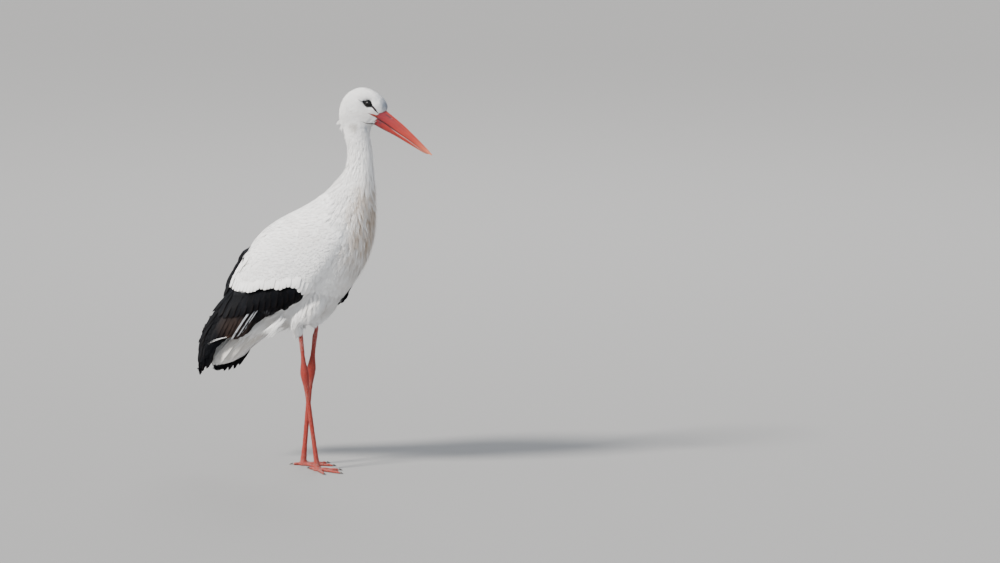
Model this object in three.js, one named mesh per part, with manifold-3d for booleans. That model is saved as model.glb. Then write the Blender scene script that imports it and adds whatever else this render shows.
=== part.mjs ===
// A white stork at life size, standing at rest on both feet, as a still museum model.
//
// The bird faces +X, its left side is +Y and the floor it stands on is z = 0. All sizes are
// millimetres. The solids give the bird's outline out to the tips of its plumage: each soft
// part is a loft, a row of oval sections, and each folded wing is a curved lens-shaped vane.
// The lofts are joined and then parted by thin cuts into the named pieces of the bird.

import * as THREE from 'three';
import { ParametricGeometry } from 'three/addons/geometries/ParametricGeometry.js';
import { mergeVertices } from 'three/addons/utils/BufferGeometryUtils.js';
import Module from 'manifold-3d';

const wasm = await Module();
wasm.setup();

// ---------------------------------------------------------------- driving sizes

// The gap that touching pieces keep, and the width of a parting cut.
const GAP = 0.3;
// How much larger than a wing the seat is that it leaves in its neighbours.
const ROOM = 0.5;

// The bird's own reference point, under the middle of its box, in the drawing below.
const MIDDLE_X = 20.2;

// Bare legs: height of the heel joint and of the ankle, radii, and each leg's stance.
const HEEL_HEIGHT = 238;
const ANKLE_HEIGHT = 15;
const SHANK_TOP = 356;
const SHANK_RADIUS = 5.8;
const HEEL_RADIUS = 10.8;
const TARSUS_RADIUS = 5.9;
const ANKLE_RADIUS = 7.4;
const LEG_FLATNESS = 0.86;
const HEEL_CUT = 30;

// Toes: length of each without its claw, radius at root and tip, and claw length.
const TOE_ROOT_RADIUS = 5;
const TOE_TIP_RADIUS = 3.1;
const CLAW_LENGTH = 9;
const CLAW_RADIUS = 2.6;
const TOES = {
  hallux: { length: 26, turn: 172, joints: 1 },
  inner: { length: 54, turn: 34, joints: 2 },
  middle: { length: 74, turn: -2, joints: 3 },
  outer: { length: 61, turn: -36, joints: 4 },
};
const FOOT_RADIUS = 12;
// What is left of the foot's radius at the ankle, along and across it, and its forward set.
const FOOT_TAPER = { along: 0.58, across: 0.61, side: 0.95, forward: 2 };
// How much a toe swells at its joints, and how tall its section is for its width.
const TOE_SWELL = 0.12;
const TOE_RISE = 0.82;
// A claw's blunt tip: its radius there, and how far its middle stands over the floor.
const CLAW_TIP = { radius: 0.35, height: 0.85, width: 0.8 };

// Each ring of a leg: its bone, its share of the way down that bone, and its radius.
const LEG_RINGS = [
  ['shank', 0, SHANK_RADIUS * 1.25],
  ['shank', 0.35, SHANK_RADIUS],
  ['shank', 0.7, SHANK_RADIUS * 0.98],
  ['shank', 0.88, HEEL_RADIUS * 0.86],
  ['shank', 1, HEEL_RADIUS],
  ['tarsus', 0.07, HEEL_RADIUS * 0.86],
  ['tarsus', 0.16, TARSUS_RADIUS * 1.12],
  ['tarsus', 0.5, TARSUS_RADIUS],
  ['tarsus', 0.86, TARSUS_RADIUS],
  ['tarsus', 1, ANKLE_RADIUS],
];
// Where each leg stands, as [x, outward y]: its foot, its heel and the top of its shank. Then
// which way the foot points, in degrees, and how stout the leg is.
const STANCES = {
  right: { sign: -1, foot: [28.6, 27], heel: [-2.4, 30], top: [-13.5, 33], heading: -15, girth: 1 },
  left: { sign: 1, foot: [-29, 27], heel: [-9.7, 30], top: [3, 33], heading: 7, girth: 1.08 },
};

// Eyes: radius of the ball and where its centre sits in the head.
const EYE_RADIUS = 9;
const EYE_CENTRE = new THREE.Vector3(162, 17.6, 918);

// Grids of the lofts: rows along, sides around, and how square the section is (2 is an oval).
const BODY_SHAPE = { rows: 26, sides: 20, power: 2.25 };
const HEAD_SHAPE = { rows: 13, sides: 14, power: 2.1 };
const BILL_SHAPE = { rows: 9, sides: 10, power: 1.9 };
const TAIL_SHAPE = { rows: 8, sides: 14, power: 2.2 };
const THIGH_SHAPE = { rows: 8, sides: 12 };
const LEG_SHAPE = { rows: 16, sides: 10 };
const WING_SHAPE = { rows: 20, sides: 16, power: 2.5 };
const FOOT_GRID = { rows: 3, sides: 14 };
const CLAW_GRID = { rows: 3, sides: 6 };
const TOE_SIDES = 8;
const EYE_GRID = { around: 12, down: 7 };

// The neck's parting cuts: a point of each as [x, z], its lean, and the width of its blade.
const NECK_CUTS = [
  { at: [124, 842], lean: 0.15, reach: 110 },
  { at: [132, 772], lean: 0, reach: 120 },
  { at: [110, 690], lean: 0.2, reach: 180 },
];
const HEEL_BLADE = 90;

// The left wing hangs a little lower and further forward than the right one, and so do the
// borders of its feather groups.
const LEFT_WING_SHIFT = new THREE.Vector3(26, 0, -20);

// ---------------------------------------------------------------- section tables
// A loft's station is [back x, back z, front x, front z, half width, side y]. "Back" is the
// upper or rear point of the oval section and "front" the lower or forward one.

const BODY = [
  [122, 884, 140, 884, 10],
  [99, 866, 154, 870, 21],
  [90, 840, 158, 853, 27.5],
  [98, 816, 160, 825, 26],
  [101, 795, 164, 797, 26],
  [99, 770, 167, 767, 28],
  [91, 746, 169, 739, 32],
  [76, 728, 172, 712, 39],
  [54, 703, 172, 686, 50],
  [28, 680, 172, 655, 61],
  [-5, 657, 170, 612, 74],
  [-46, 635, 162, 560, 86],
  [-93, 608, 141, 506, 93],
  [-134, 574, 110, 459, 94],
  [-160, 532, 70, 408, 88],
  [-168, 484, 25, 371, 77],
  [-168, 442, -28, 352, 62],
  [-162, 402, -72, 342, 45],
  [-148, 370, -98, 336, 26],
  [-134, 352, -112, 338, 9],
];

const HEAD = [
  [81.5, 892, 81.5, 874, 9],
  [84, 914, 84, 856, 18],
  [94, 932, 95, 846, 23.5],
  [111, 946.5, 113, 842, 26],
  [135, 955.5, 134, 842, 27],
  [158, 953, 152, 849, 26],
  [176, 945.5, 164, 857, 23.5],
  [190, 936, 171, 863, 20],
  [200, 925, 174.5, 867, 17],
  [206, 912, 176.5, 871, 14],
  [206.5, 903, 178.5, 877, 11.5],
];

const BILL_UPPER = [
  [192, 908, 162, 894.5, 12.8],
  [203, 899.3, 177, 885.6, 12.4],
  [225, 884, 205, 870.4, 10.4],
  [247, 867.6, 231.5, 852, 8.4],
  [269, 849, 258, 836.4, 6.6],
  [291, 829.5, 284, 819, 4.8],
  [309, 813, 304, 805, 3],
  [323.2, 798.6, 321.6, 797.2, 0.9],
];

const BILL_LOWER = [
  [160, 891.6, 154, 874, 11.6],
  [176, 883, 172.5, 864.2, 11.2],
  [203.5, 869, 199.5, 851.2, 9.2],
  [230, 850.9, 226, 839.2, 7.4],
  [256.5, 835.3, 253, 825.8, 5.6],
  [283, 818, 280, 812.4, 4],
  [302, 804.9, 300, 802.6, 2.4],
  [313, 800.2, 312, 799.2, 0.9],
];

const TAIL = [
  [-122, 402, -84, 352, 34],
  [-148, 386, -112, 320, 43],
  [-184, 352, -147, 296, 42],
  [-214, 318, -180, 264, 39],
  [-238, 288, -213, 246, 34],
  [-254, 262, -238, 241.5, 28],
  [-260, 248, -255, 242, 20],
];

// Feathered thigh: the stations of one side, with y outward.
const THIGH = [
  [34, 452, 62, 444, 9, 44],
  [6, 420, 60, 412, 23, 48],
  [-27, 386, 43, 381, 29, 47],
  [-39, 360, 23, 356, 23, 40],
  [-34, 341, 6, 340, 15, 35],
  [-27, 328, -9, 328, 9.5, 33],
];

// Folded wing, right side, from the wrist to the tip: the lower edge and the upper edge as
// [x, y, z], then how far the vane bulges outward between them and how thick it is.
const WING_LOWER = {
  right: [
    [122, -60, 600],
    [88, -70, 536],
    [44, -74, 470],
    [4, -74, 425],
    [-44, -76, 397],
    [-104, -74, 370],
    [-150, -66, 333],
    [-196, -57, 311],
    [-228, -50, 286],
    [-260, -43, 238],
    [-275, -40, 219],
  ],
  left: [
    [128, -60, 596],
    [108, -72, 520],
    [89, -79, 443],
    [52, -80, 396],
    [-8, -78, 371],
    [-78, -74, 346],
    [-134, -66, 311],
    [-184, -57, 284],
    [-212, -50, 248],
    [-246, -43, 216],
    [-270, -38, 216],
  ],
};
const WING_UPPER = [
  [108, -50, 622],
  [58, -48, 640],
  [-10, -44, 622],
  [-76, -38, 590],
  [-132, -28, 551],
  [-180, -14, 505],
  [-208, -9, 457],
  [-222, -8, 417],
  [-252, -10, 376],
  [-279, -18, 328],
  [-282, -36, 230],
];
const WING_BULGE = [4, 12, 16, 20, 24, 24, 20, 17, 14, 8, 1];
const WING_THICKNESS = [6, 12, 15, 15, 14, 12, 10.5, 10, 9, 7, 3];
// How far the wing's middle surface rides above the flank it lies on.
const WING_LIFT = [0, 2, 4, 6, 8, 11, 10, 6, 5, 5, 5];

// Where white coverts end and black flight feathers begin, seen from the side as [x, z].
const COVERT_EDGE = [
  [60, 452],
  [16, 450],
  [-41, 455],
  [-107, 447],
  [-176, 437],
  [-203, 452],
  [-196, 474],
  [-176, 506],
  [-140, 604],
];
// Where the long secondaries end and the primary tips begin.
const PRIMARY_EDGE = [
  [-196, 284],
  [-222, 330],
  [-238, 372],
  [-258, 452],
];

// ---------------------------------------------------------------- shape helpers

const signedPower = (value, power) => Math.sign(value) * Math.abs(value) ** power;

// Turns a closed three.js geometry into a solid, dropping the folded triangles at its poles.
function solidOf(geometry) {
  const bare = geometry.clone();
  bare.deleteAttribute('normal');
  bare.deleteAttribute('uv');
  const merged = mergeVertices(bare, 1e-4);
  const index = merged.index.array;
  const triangles = [];
  for (let i = 0; i < index.length; i += 3) {
    const [a, b, c] = [index[i], index[i + 1], index[i + 2]];
    if (a !== b && b !== c && c !== a) {
      triangles.push(a, b, c);
    }
  }
  const vertProperties = new Float32Array(merged.attributes.position.array);
  const made = new wasm.Manifold(
    new wasm.Mesh({ numProp: 3, vertProperties, triVerts: new Uint32Array(triangles) }),
  );
  if (made.volume() > 0) {
    return made;
  }
  const turned = [];
  for (let i = 0; i < triangles.length; i += 3) {
    turned.push(triangles[i], triangles[i + 2], triangles[i + 1]);
  }
  return new wasm.Manifold(
    new wasm.Mesh({ numProp: 3, vertProperties, triVerts: new Uint32Array(turned) }),
  );
}

// Closes a tube of sections: section(u, angle) gives a point, and both ends get a flat cap.
function tubeOf(section, rows, sides) {
  const middleOf = (u) => {
    const sum = new THREE.Vector3();
    for (let k = 0; k < sides; k += 1) {
      sum.add(section(u, (k / sides) * 2 * Math.PI));
    }
    return sum.divideScalar(sides);
  };
  const steps = rows + 2;
  const place = (turn, along, target) => {
    const row = Math.round(along * steps);
    const u = Math.min(Math.max((row - 1) / rows, 0), 1);
    const capped = row === 0 || row === steps;
    const angle = (Math.round(turn * sides) % sides) * ((2 * Math.PI) / sides);
    target.copy(capped ? middleOf(u) : section(u, angle));
  };
  return solidOf(new ParametricGeometry(place, sides, steps));
}

// How far the end sections of a swollen shape move outward along it.
function overrun(u, grow) {
  if (u === 0) {
    return -grow;
  }
  return u === 1 ? grow : 0;
}

// A loft through a station table. side is +1 or -1 for a paired piece, grow swells it evenly.
function loft(stations, { rows, sides, power = 2, grow = 0, side = 1 }) {
  const rear = new THREE.CatmullRomCurve3(stations.map((s) => new THREE.Vector3(s[0], s[4], s[1])));
  const fore = new THREE.CatmullRomCurve3(
    stations.map((s) => new THREE.Vector3(s[2], s[5] ?? 0, s[3])),
  );
  const section = (u, angle) => {
    const a = rear.getPoint(u);
    const b = fore.getPoint(u);
    const reach = new THREE.Vector3((a.x - b.x) / 2, 0, (a.z - b.z) / 2);
    const size = reach.length();
    const along = signedPower(Math.cos(angle), 2 / power) * (size + grow);
    const across = signedPower(Math.sin(angle), 2 / power) * (a.y + grow);
    const point = new THREE.Vector3((a.x + b.x) / 2, side * (b.y + across), (a.z + b.z) / 2);
    const onward = new THREE.Vector3(reach.z, 0, -reach.x);
    if (onward.dot(rear.getTangent(u).add(fore.getTangent(u))) < 0) {
      onward.negate();
    }
    return point.addScaledVector(reach, along / size).addScaledVector(onward, overrun(u, grow) / size);
  };
  return tubeOf(section, rows, sides);
}

// A block given by its lowest and highest corners.
function block(low, high) {
  const size = new THREE.Vector3().subVectors(high, low);
  const shape = new THREE.BoxGeometry(size.x, size.y, size.z);
  shape.translate((low.x + high.x) / 2, (low.y + high.y) / 2, (low.z + high.z) / 2);
  return solidOf(shape);
}

// A thin flat blade for parting: it passes through a point, square to the given direction.
function flatCut(point, direction, reach) {
  const blade = new THREE.BoxGeometry(reach, reach, GAP);
  const turn = new THREE.Quaternion();
  turn.setFromUnitVectors(new THREE.Vector3(0, 0, 1), direction.clone().normalize());
  blade.applyQuaternion(turn);
  blade.translate(point.x, point.y, point.z);
  return solidOf(blade);
}

// A thin curtain for parting a wing: a line drawn from the side, swept across the bird.
function curtainCut(line, steps) {
  const curve = new THREE.CatmullRomCurve3(line.map((p) => new THREE.Vector3(p[0], 0, p[1])));
  const points = curve.getSpacedPoints(steps);
  const edge = [];
  for (const sign of [1, -1]) {
    const side = points.map((p, i) => {
      const t = curve.getTangentAt(i / steps);
      return new THREE.Vector2(p.x + (sign * t.z * GAP) / 2, p.z - (sign * t.x * GAP) / 2);
    });
    edge.push(...(sign > 0 ? side : side.reverse()));
  }
  const sheet = new THREE.ExtrudeGeometry(new THREE.Shape(edge), {
    depth: 300,
    bevelEnabled: false,
  });
  sheet.rotateX(Math.PI / 2);
  sheet.translate(0, 150, 0);
  return solidOf(sheet);
}

const byVolume = (solid) => solid.decompose().sort((a, b) => b.volume() - a.volume());
const mainPiece = (solid) => byVolume(solid)[0];

// Parts a solid with blades and returns its pieces, largest first, without stray slivers.
function parted(solid, blades, count) {
  let rest = solid;
  for (const blade of blades) {
    rest = rest.subtract(blade);
  }
  return byVolume(rest).slice(0, count);
}

const middleHeight = (solid) => {
  const box = solid.boundingBox();
  return (box.min[2] + box.max[2]) / 2;
};

// ---------------------------------------------------------------- materials

const finish = (color, roughness, metalness = 0) =>
  new THREE.MeshStandardMaterial({ color, roughness, metalness });
const WHITE_PLUMAGE = finish(0xf2efe8, 0.85);
const BLACK_PLUMAGE = finish(0x15161a, 0.55);
const RED_BILL = finish(0xc8503f, 0.45);
const RED_LEG = finish(0xc4584a, 0.6);
const DARK_CLAW = finish(0x5a4238, 0.5);
const DARK_EYE = finish(0x0b0908, 0.1);

const bird = new THREE.Group();
bird.position.set(-MIDDLE_X, 0, 0);
const whole = new THREE.Group();
whole.add(bird);

// Puts a solid in the bird as a named mesh.
function addPart(name, solid, material) {
  const mesh = solid.getMesh();
  const geometry = new THREE.BufferGeometry();
  geometry.setAttribute('position', new THREE.BufferAttribute(mesh.vertProperties, 3));
  geometry.setIndex(new THREE.BufferAttribute(mesh.triVerts, 1));
  geometry.computeVertexNormals();
  const part = new THREE.Mesh(geometry, material.clone());
  part.name = name;
  bird.add(part);
}

// ---------------------------------------------------------------- wings

// Over how many millimetres the free vane and the part on the flank blend into each other.
const BLEND = 16;
// Past this share of the trunk's section the flank runs on straight, so a wing meets no cliff.
const SHOULDER = 0.85;
// The part of the trunk's table that a wing can lie against, and the halvings that search it.
const FLANK_SEARCH = { from: 0.3, to: 0.97, halvings: 24 };
// The share of a wing's length over which its direction is taken.
const WING_STEP = 0.02;
// How far outward a wing's seat is cleared, so that no flank stands out through the wing.
const SEAT_STEPS = [-3, -6, -9, -12];

// How wide a section is for its greatest half width, at a share of the way to its end.
function swellAt(share) {
  const power = BODY_SHAPE.power;
  const curved = (off) => (1 - off ** power) ** (1 / power);
  if (share < SHOULDER) {
    return curved(share);
  }
  const slope = SHOULDER ** (power - 1) * (1 - SHOULDER ** power) ** (1 / power - 1);
  return Math.max(0, curved(SHOULDER) - slope * (share - SHOULDER));
}

// Half the trunk's width at a point of its side view, and 0 well outside its outline.
function flank(x, z) {
  const line = (u) => {
    const place = u * (BODY.length - 1);
    const i = Math.min(Math.floor(place), BODY.length - 2);
    return BODY[i].map((value, k) => value + (BODY[i + 1][k] - value) * (place - i));
  };
  const aheadOf = ([ax, az, bx, bz]) => (bx - ax) * (z - az) - (bz - az) * (x - ax) > 0;
  let [low, high] = [FLANK_SEARCH.from, FLANK_SEARCH.to];
  if (aheadOf(line(low)) === aheadOf(line(high))) {
    return 0;
  }
  const first = aheadOf(line(low));
  for (let step = 0; step < FLANK_SEARCH.halvings; step += 1) {
    const middle = (low + high) / 2;
    if (aheadOf(line(middle)) === first) {
      low = middle;
    } else {
      high = middle;
    }
  }
  const [ax, az, bx, bz, width] = line(low);
  const size = Math.hypot(bx - ax, bz - az) / 2;
  const off = Math.hypot(x - (ax + bx) / 2, z - (az + bz) / 2) / size;
  return width * swellAt(off);
}

// A folded wing, drawn as a right one: it rides on the flank and runs on free behind it.
function wing(side, grow = 0) {
  const curveOf = (rows) => new THREE.CatmullRomCurve3(rows.map((p) => new THREE.Vector3(...p)));
  const lower = curveOf(WING_LOWER[side]);
  const upper = curveOf(WING_UPPER);
  const form = curveOf(WING_BULGE.map((bulge, i) => [bulge, WING_THICKNESS[i], WING_LIFT[i]]));
  const section = (u, angle) => {
    const low = lower.getPoint(u);
    const high = upper.getPoint(u);
    const { x: bulge, y: thick, z: lift } = form.getPoint(u);
    const chord = new THREE.Vector3().subVectors(high, low);
    const middleAt = (place) => lower.getPoint(place).add(upper.getPoint(place));
    const ahead = middleAt(Math.min(u + WING_STEP, 1));
    const onward = ahead.sub(middleAt(Math.max(u - WING_STEP, 0))).normalize();
    const outward = new THREE.Vector3().crossVectors(onward, chord).normalize();
    if (outward.y > 0) {
      outward.negate();
    }
    const spread = 1 + (2 * grow) / chord.length();
    const across = signedPower(Math.cos(angle), 2 / WING_SHAPE.power) * spread;
    const through = signedPower(Math.sin(angle), 2 / WING_SHAPE.power) * (thick / 2 + grow);
    const point = low.addScaledVector(chord, (1 + across) / 2);
    const free = bulge * (1 - across * across) - point.y;
    const hug = flank(point.x, point.z) + lift;
    point.y = -Math.max(free, hug) - Math.max(0, BLEND - Math.abs(free - hug)) ** 2 / (4 * BLEND);
    point.addScaledVector(onward, overrun(u, grow));
    return point.addScaledVector(outward, through);
  };
  return tubeOf(section, WING_SHAPE.rows, WING_SHAPE.sides);
}

const mirrored = (solid) => solid.mirror([0, 1, 0]);
const leftOf = (solid) => mirrored(solid).translate(LEFT_WING_SHIFT.toArray());

// Half the size of a block that is larger than the bird.
const FAR = 600;
const leftHalf = block(new THREE.Vector3(-FAR, -GAP, 0), new THREE.Vector3(FAR, FAR, FAR * 2));
const wings = {
  right: wing('right').subtract(leftHalf),
  left: mirrored(wing('left').subtract(leftHalf)),
};
const swollenWings = {
  right: wing('right', ROOM),
  left: wing('left', ROOM),
};
const wingRoom = swollenWings.right.add(mirrored(swollenWings.left));
// The same room cleared outward too, for the trunk under the wings.
const seatOf = (solid) =>
  SEAT_STEPS.reduce((seat, step) => seat.add(solid.translate([0, step, 0])), solid);
const wingSeats = seatOf(swollenWings.right).add(mirrored(seatOf(swollenWings.left)));
for (const [side, solid] of Object.entries(wings)) {
  const cuts = [curtainCut(COVERT_EDGE, 24), curtainCut(PRIMARY_EDGE, 6)];
  const blades = side === 'right' ? cuts : cuts.map(leftOf);
  const [coverts, ...flight] = parted(mainPiece(solid), blades, 3).sort(
    (a, b) => middleHeight(b) - middleHeight(a),
  );
  addPart(`wing_${side}_coverts`, coverts, WHITE_PLUMAGE);
  addPart(`wing_${side}_secondaries`, flight[0], BLACK_PLUMAGE);
  addPart(`wing_${side}_primaries`, flight[1], BLACK_PLUMAGE);
}

// ---------------------------------------------------------------- body, neck and head

const head = (grow) => loft(HEAD, { ...HEAD_SHAPE, grow });
const body = (grow) => loft(BODY, { ...BODY_SHAPE, grow });

const eyes = {};
for (const [side, sign] of [['right', -1], ['left', 1]]) {
  const ball = (radius) => {
    const shape = new THREE.SphereGeometry(radius, EYE_GRID.around, EYE_GRID.down);
    shape.translate(EYE_CENTRE.x, sign * EYE_CENTRE.y, EYE_CENTRE.z);
    return solidOf(shape);
  };
  eyes[side] = { ball: ball(EYE_RADIUS), socket: ball(EYE_RADIUS + GAP) };
}

const torso = body(0).subtract(wingSeats);
const flesh = head(0).add(mainPiece(torso)).subtract(eyes.left.socket).subtract(eyes.right.socket);
const neckCuts = NECK_CUTS.map(({ at, lean, reach }) =>
  flatCut(new THREE.Vector3(at[0], 0, at[1]), new THREE.Vector3(lean, 0, 1), reach),
);
const fleshParts = parted(flesh, neckCuts, 4).sort((a, b) => middleHeight(b) - middleHeight(a));
['head', 'neck_upper', 'neck_lower', 'trunk'].forEach((name, i) => {
  addPart(name, fleshParts[i], WHITE_PLUMAGE);
});
addPart('eye_right', eyes.right.ball, DARK_EYE);
addPart('eye_left', eyes.left.ball, DARK_EYE);

// The bill's root stands clear of the face below and in front of it.
const faceRoom = head(GAP).add(head(GAP).translate([ROOM, 0, -GAP]));
addPart('bill_upper', mainPiece(loft(BILL_UPPER, BILL_SHAPE).subtract(faceRoom)), RED_BILL);
addPart('bill_lower', mainPiece(loft(BILL_LOWER, BILL_SHAPE).subtract(faceRoom)), RED_BILL);

const bodyRoom = body(GAP);
const tail = loft(TAIL, TAIL_SHAPE);
addPart('tail', mainPiece(tail.subtract(bodyRoom).subtract(wingRoom)), WHITE_PLUMAGE);

// ---------------------------------------------------------------- legs and feet

// A leg's stations, from the top of the shank to the ankle.
function legStations({ foot, heel, top, girth }) {
  const bones = {
    shank: { from: top, to: heel, high: SHANK_TOP, low: HEEL_HEIGHT },
    tarsus: { from: heel, to: foot, high: HEEL_HEIGHT, low: ANKLE_HEIGHT },
  };
  return LEG_RINGS.map(([bone, share, radius]) => {
    const { from, to, high, low } = bones[bone];
    const x = from[0] + (to[0] - from[0]) * share;
    const y = from[1] + (to[1] - from[1]) * share;
    const z = high + (low - high) * share;
    return [x - radius * girth, z, x + radius * girth, z, radius * LEG_FLATNESS, y];
  });
}

const floorRoom = block(new THREE.Vector3(-FAR, -FAR, -FAR), new THREE.Vector3(FAR, FAR, 0));

// A toe along +X from the origin: low oval sections that swell at each joint, flat beneath.
function toe({ length, joints }, grow = 0) {
  const section = (u, angle) => {
    const taper = grow + TOE_ROOT_RADIUS + (TOE_TIP_RADIUS - TOE_ROOT_RADIUS) * u;
    const radius = taper * (1 + TOE_SWELL * Math.cos((2 * joints + 1) * Math.PI * u));
    const lift = radius * TOE_RISE;
    return new THREE.Vector3(
      length * u + overrun(u, grow),
      radius * Math.cos(angle),
      lift + radius * Math.sin(angle),
    );
  };
  return tubeOf(section, joints * 2 + 1, TOE_SIDES);
}

// A short blunt claw that carries on from the toe's tip and bends down to the floor.
function claw({ length }) {
  const section = (u, angle) => {
    const radius = CLAW_RADIUS * (1 - u) ** 0.7 + CLAW_TIP.radius;
    const drop = CLAW_RADIUS * (1 - u * u) + CLAW_TIP.height + CLAW_TIP.radius * (1 - u);
    return new THREE.Vector3(
      length + GAP + CLAW_LENGTH * u,
      radius * CLAW_TIP.width * Math.cos(angle),
      drop + radius * Math.sin(angle),
    );
  };
  return tubeOf(section, CLAW_GRID.rows, CLAW_GRID.sides);
}

for (const [side, stance] of Object.entries(STANCES)) {
  const { sign, foot, heading } = stance;
  const leg = loft(legStations(stance), { ...LEG_SHAPE, side: sign });
  const heelCut = (z) =>
    flatCut(new THREE.Vector3(0, sign * stance.heel[1], z), new THREE.Vector3(0, 0, 1), HEEL_BLADE);
  const thigh = (grow) => loft(THIGH, { ...THIGH_SHAPE, side: sign, grow });
  addPart(
    `thigh_${side}`,
    mainPiece(thigh(0).subtract(bodyRoom).subtract(wingRoom)),
    WHITE_PLUMAGE,
  );
  const bare = mainPiece(leg.subtract(thigh(GAP)).subtract(bodyRoom));
  const pieces = parted(bare, [heelCut(HEEL_HEIGHT + HEEL_CUT), heelCut(HEEL_HEIGHT - HEEL_CUT)], 3);
  pieces.sort((a, b) => middleHeight(b) - middleHeight(a));
  ['shank', 'heel', 'tarsus'].forEach((name, i) => {
    addPart(`${name}_${side}`, pieces[i], RED_LEG);
  });

  const atFoot = (solid, turn) =>
    solid.rotate([0, 0, turn]).translate([foot[0], sign * foot[1], 0]);
  const { along, across, side: width, forward } = FOOT_TAPER;
  const padRing = (u, angle) =>
    new THREE.Vector3(
      FOOT_RADIUS * (1 + (along - 1) * u) * Math.cos(angle) + forward * (1 - u),
      FOOT_RADIUS * width * (1 + (across - 1) * u) * Math.sin(angle),
      (ANKLE_HEIGHT - GAP) * u,
    );
  const pad = tubeOf(padRing, FOOT_GRID.rows, FOOT_GRID.sides);
  addPart(`foot_${side}`, atFoot(pad, heading), RED_LEG);
  const padRoom = pad.scale([1 + GAP / FOOT_RADIUS, 1 + GAP / FOOT_RADIUS, 2]);
  const turnOf = (name) => -sign * TOES[name].turn;
  const middleRoom = toe(TOES.middle, ROOM).rotate([0, 0, turnOf('middle')]);
  for (const [name, shape] of Object.entries(TOES)) {
    const turn = turnOf(name);
    const taken = name === 'middle' ? padRoom : padRoom.add(middleRoom);
    const digit = toe(shape).rotate([0, 0, turn]).subtract(floorRoom).subtract(taken);
    const tip = claw(shape).subtract(floorRoom);
    addPart(`toe_${side}_${name}`, atFoot(mainPiece(digit), heading), RED_LEG);
    addPart(`claw_${side}_${name}`, atFoot(tip, heading + turn), DARK_CLAW);
  }
}

export default whole;
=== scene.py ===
# %% [markdown]
# # A white stork, feather by feather
# The solids give this bird its true outline, out to the tips of its plumage. This lesson
# dresses them: one skin under everything, a coat of contour feathers combed over it, long
# flight feathers laid like roof tiles, scaly legs, a horny bill and wet dark eyes. All of it
# is mesh, so every feather has a shape of its own and can be looked at from any side.
#
# The bird faces +X, its left side is +Y, and one unit is one metre.

# %% Load the solid bird
import math

import bmesh
import bpy
import numpy as np
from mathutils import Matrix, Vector
from mathutils.bvhtree import BVHTree
from mathutils.kdtree import KDTree


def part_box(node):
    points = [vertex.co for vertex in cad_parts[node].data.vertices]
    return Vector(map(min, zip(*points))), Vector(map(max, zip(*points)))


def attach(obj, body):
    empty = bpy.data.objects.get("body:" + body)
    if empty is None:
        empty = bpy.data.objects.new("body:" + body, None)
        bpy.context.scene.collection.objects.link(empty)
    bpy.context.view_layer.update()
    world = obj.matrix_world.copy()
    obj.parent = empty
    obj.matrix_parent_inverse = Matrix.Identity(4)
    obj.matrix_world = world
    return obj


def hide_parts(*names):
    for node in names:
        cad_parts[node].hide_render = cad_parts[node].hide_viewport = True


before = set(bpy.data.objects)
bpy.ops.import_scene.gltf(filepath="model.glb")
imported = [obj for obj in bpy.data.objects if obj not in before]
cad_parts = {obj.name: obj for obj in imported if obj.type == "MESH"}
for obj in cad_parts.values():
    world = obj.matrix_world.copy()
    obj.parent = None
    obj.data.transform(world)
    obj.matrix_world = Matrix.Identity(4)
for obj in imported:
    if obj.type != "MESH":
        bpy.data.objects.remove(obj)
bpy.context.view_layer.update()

MM = 0.001
EYE_MIDDLE = sum((Vector(c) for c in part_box("eye_right")), Vector()) / 2
# The drawing that the sizes below come from has the eye 162 mm ahead of its own zero.
DRAWING_ZERO = EYE_MIDDLE.x - 162 * MM


def at(x, y, z):
    """One or more points of the drawing, in millimetres, as metres in the bird's own frame."""
    return np.stack([DRAWING_ZERO + x * MM, y * MM, z * MM], -1)


# %% [markdown]
# ## Camera, floor and light
# A bird this tall is watched from far off, so the lens is long and its lines stay nearly
# parallel. The camera stands to the bird's right, a little ahead of it and above its eye.
# One big soft lamp above and behind its tail models the white plumage, and pale walls all
# round (the world colour) fill the shade.

# %% Camera
TURN = math.radians(22)
TILT = math.radians(10)
DISTANCE = 60.0
FRAME_WIDTH = 2.45
SENSOR = 36.0
RIGHTWARD = Vector((math.cos(TURN), math.sin(TURN), 0))
UPWARD = Vector((-math.sin(TURN) * math.sin(TILT), math.cos(TURN) * math.sin(TILT), math.cos(TILT)))
TOWARD_CAMERA = Vector(
    (math.sin(TURN) * math.cos(TILT), -math.cos(TURN) * math.cos(TILT), math.sin(TILT))
)
AIM_RIGHT, AIM_UP = 0.4461, 0.4577
AIM = AIM_RIGHT * RIGHTWARD + AIM_UP * UPWARD

camera = bpy.data.objects.new("camera", bpy.data.cameras.new("camera"))
bpy.context.scene.collection.objects.link(camera)
camera.location = AIM + DISTANCE * TOWARD_CAMERA
camera.rotation_euler = TOWARD_CAMERA.to_track_quat("Z", "Y").to_euler()
camera.data.sensor_width = SENSOR
camera.data.lens = SENSOR * DISTANCE / FRAME_WIDTH
camera.data.clip_end = 100
bpy.context.scene.camera = camera
print("lens", round(camera.data.lens, 1), "mm at", DISTANCE, "m")


# %% Materials from small parts
def new_material(name, roughness, specular=0.5):
    """A material of a given roughness and shine, with its nodes, its links and its shader."""
    material = bpy.data.materials.new(name)
    material.use_nodes = True
    nodes = material.node_tree.nodes
    shader = nodes["Principled BSDF"]
    shader.inputs["Roughness"].default_value = roughness
    shader.inputs["Specular IOR Level"].default_value = specular
    return material, nodes, material.node_tree.links, shader


def node(nodes, kind, **settings):
    """A node with some of its settings and inputs given by name."""
    made = nodes.new(kind)
    for key, value in settings.items():
        if key in made.inputs:
            made.inputs[key].default_value = value
        else:
            setattr(made, key, value)
    return made


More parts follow.
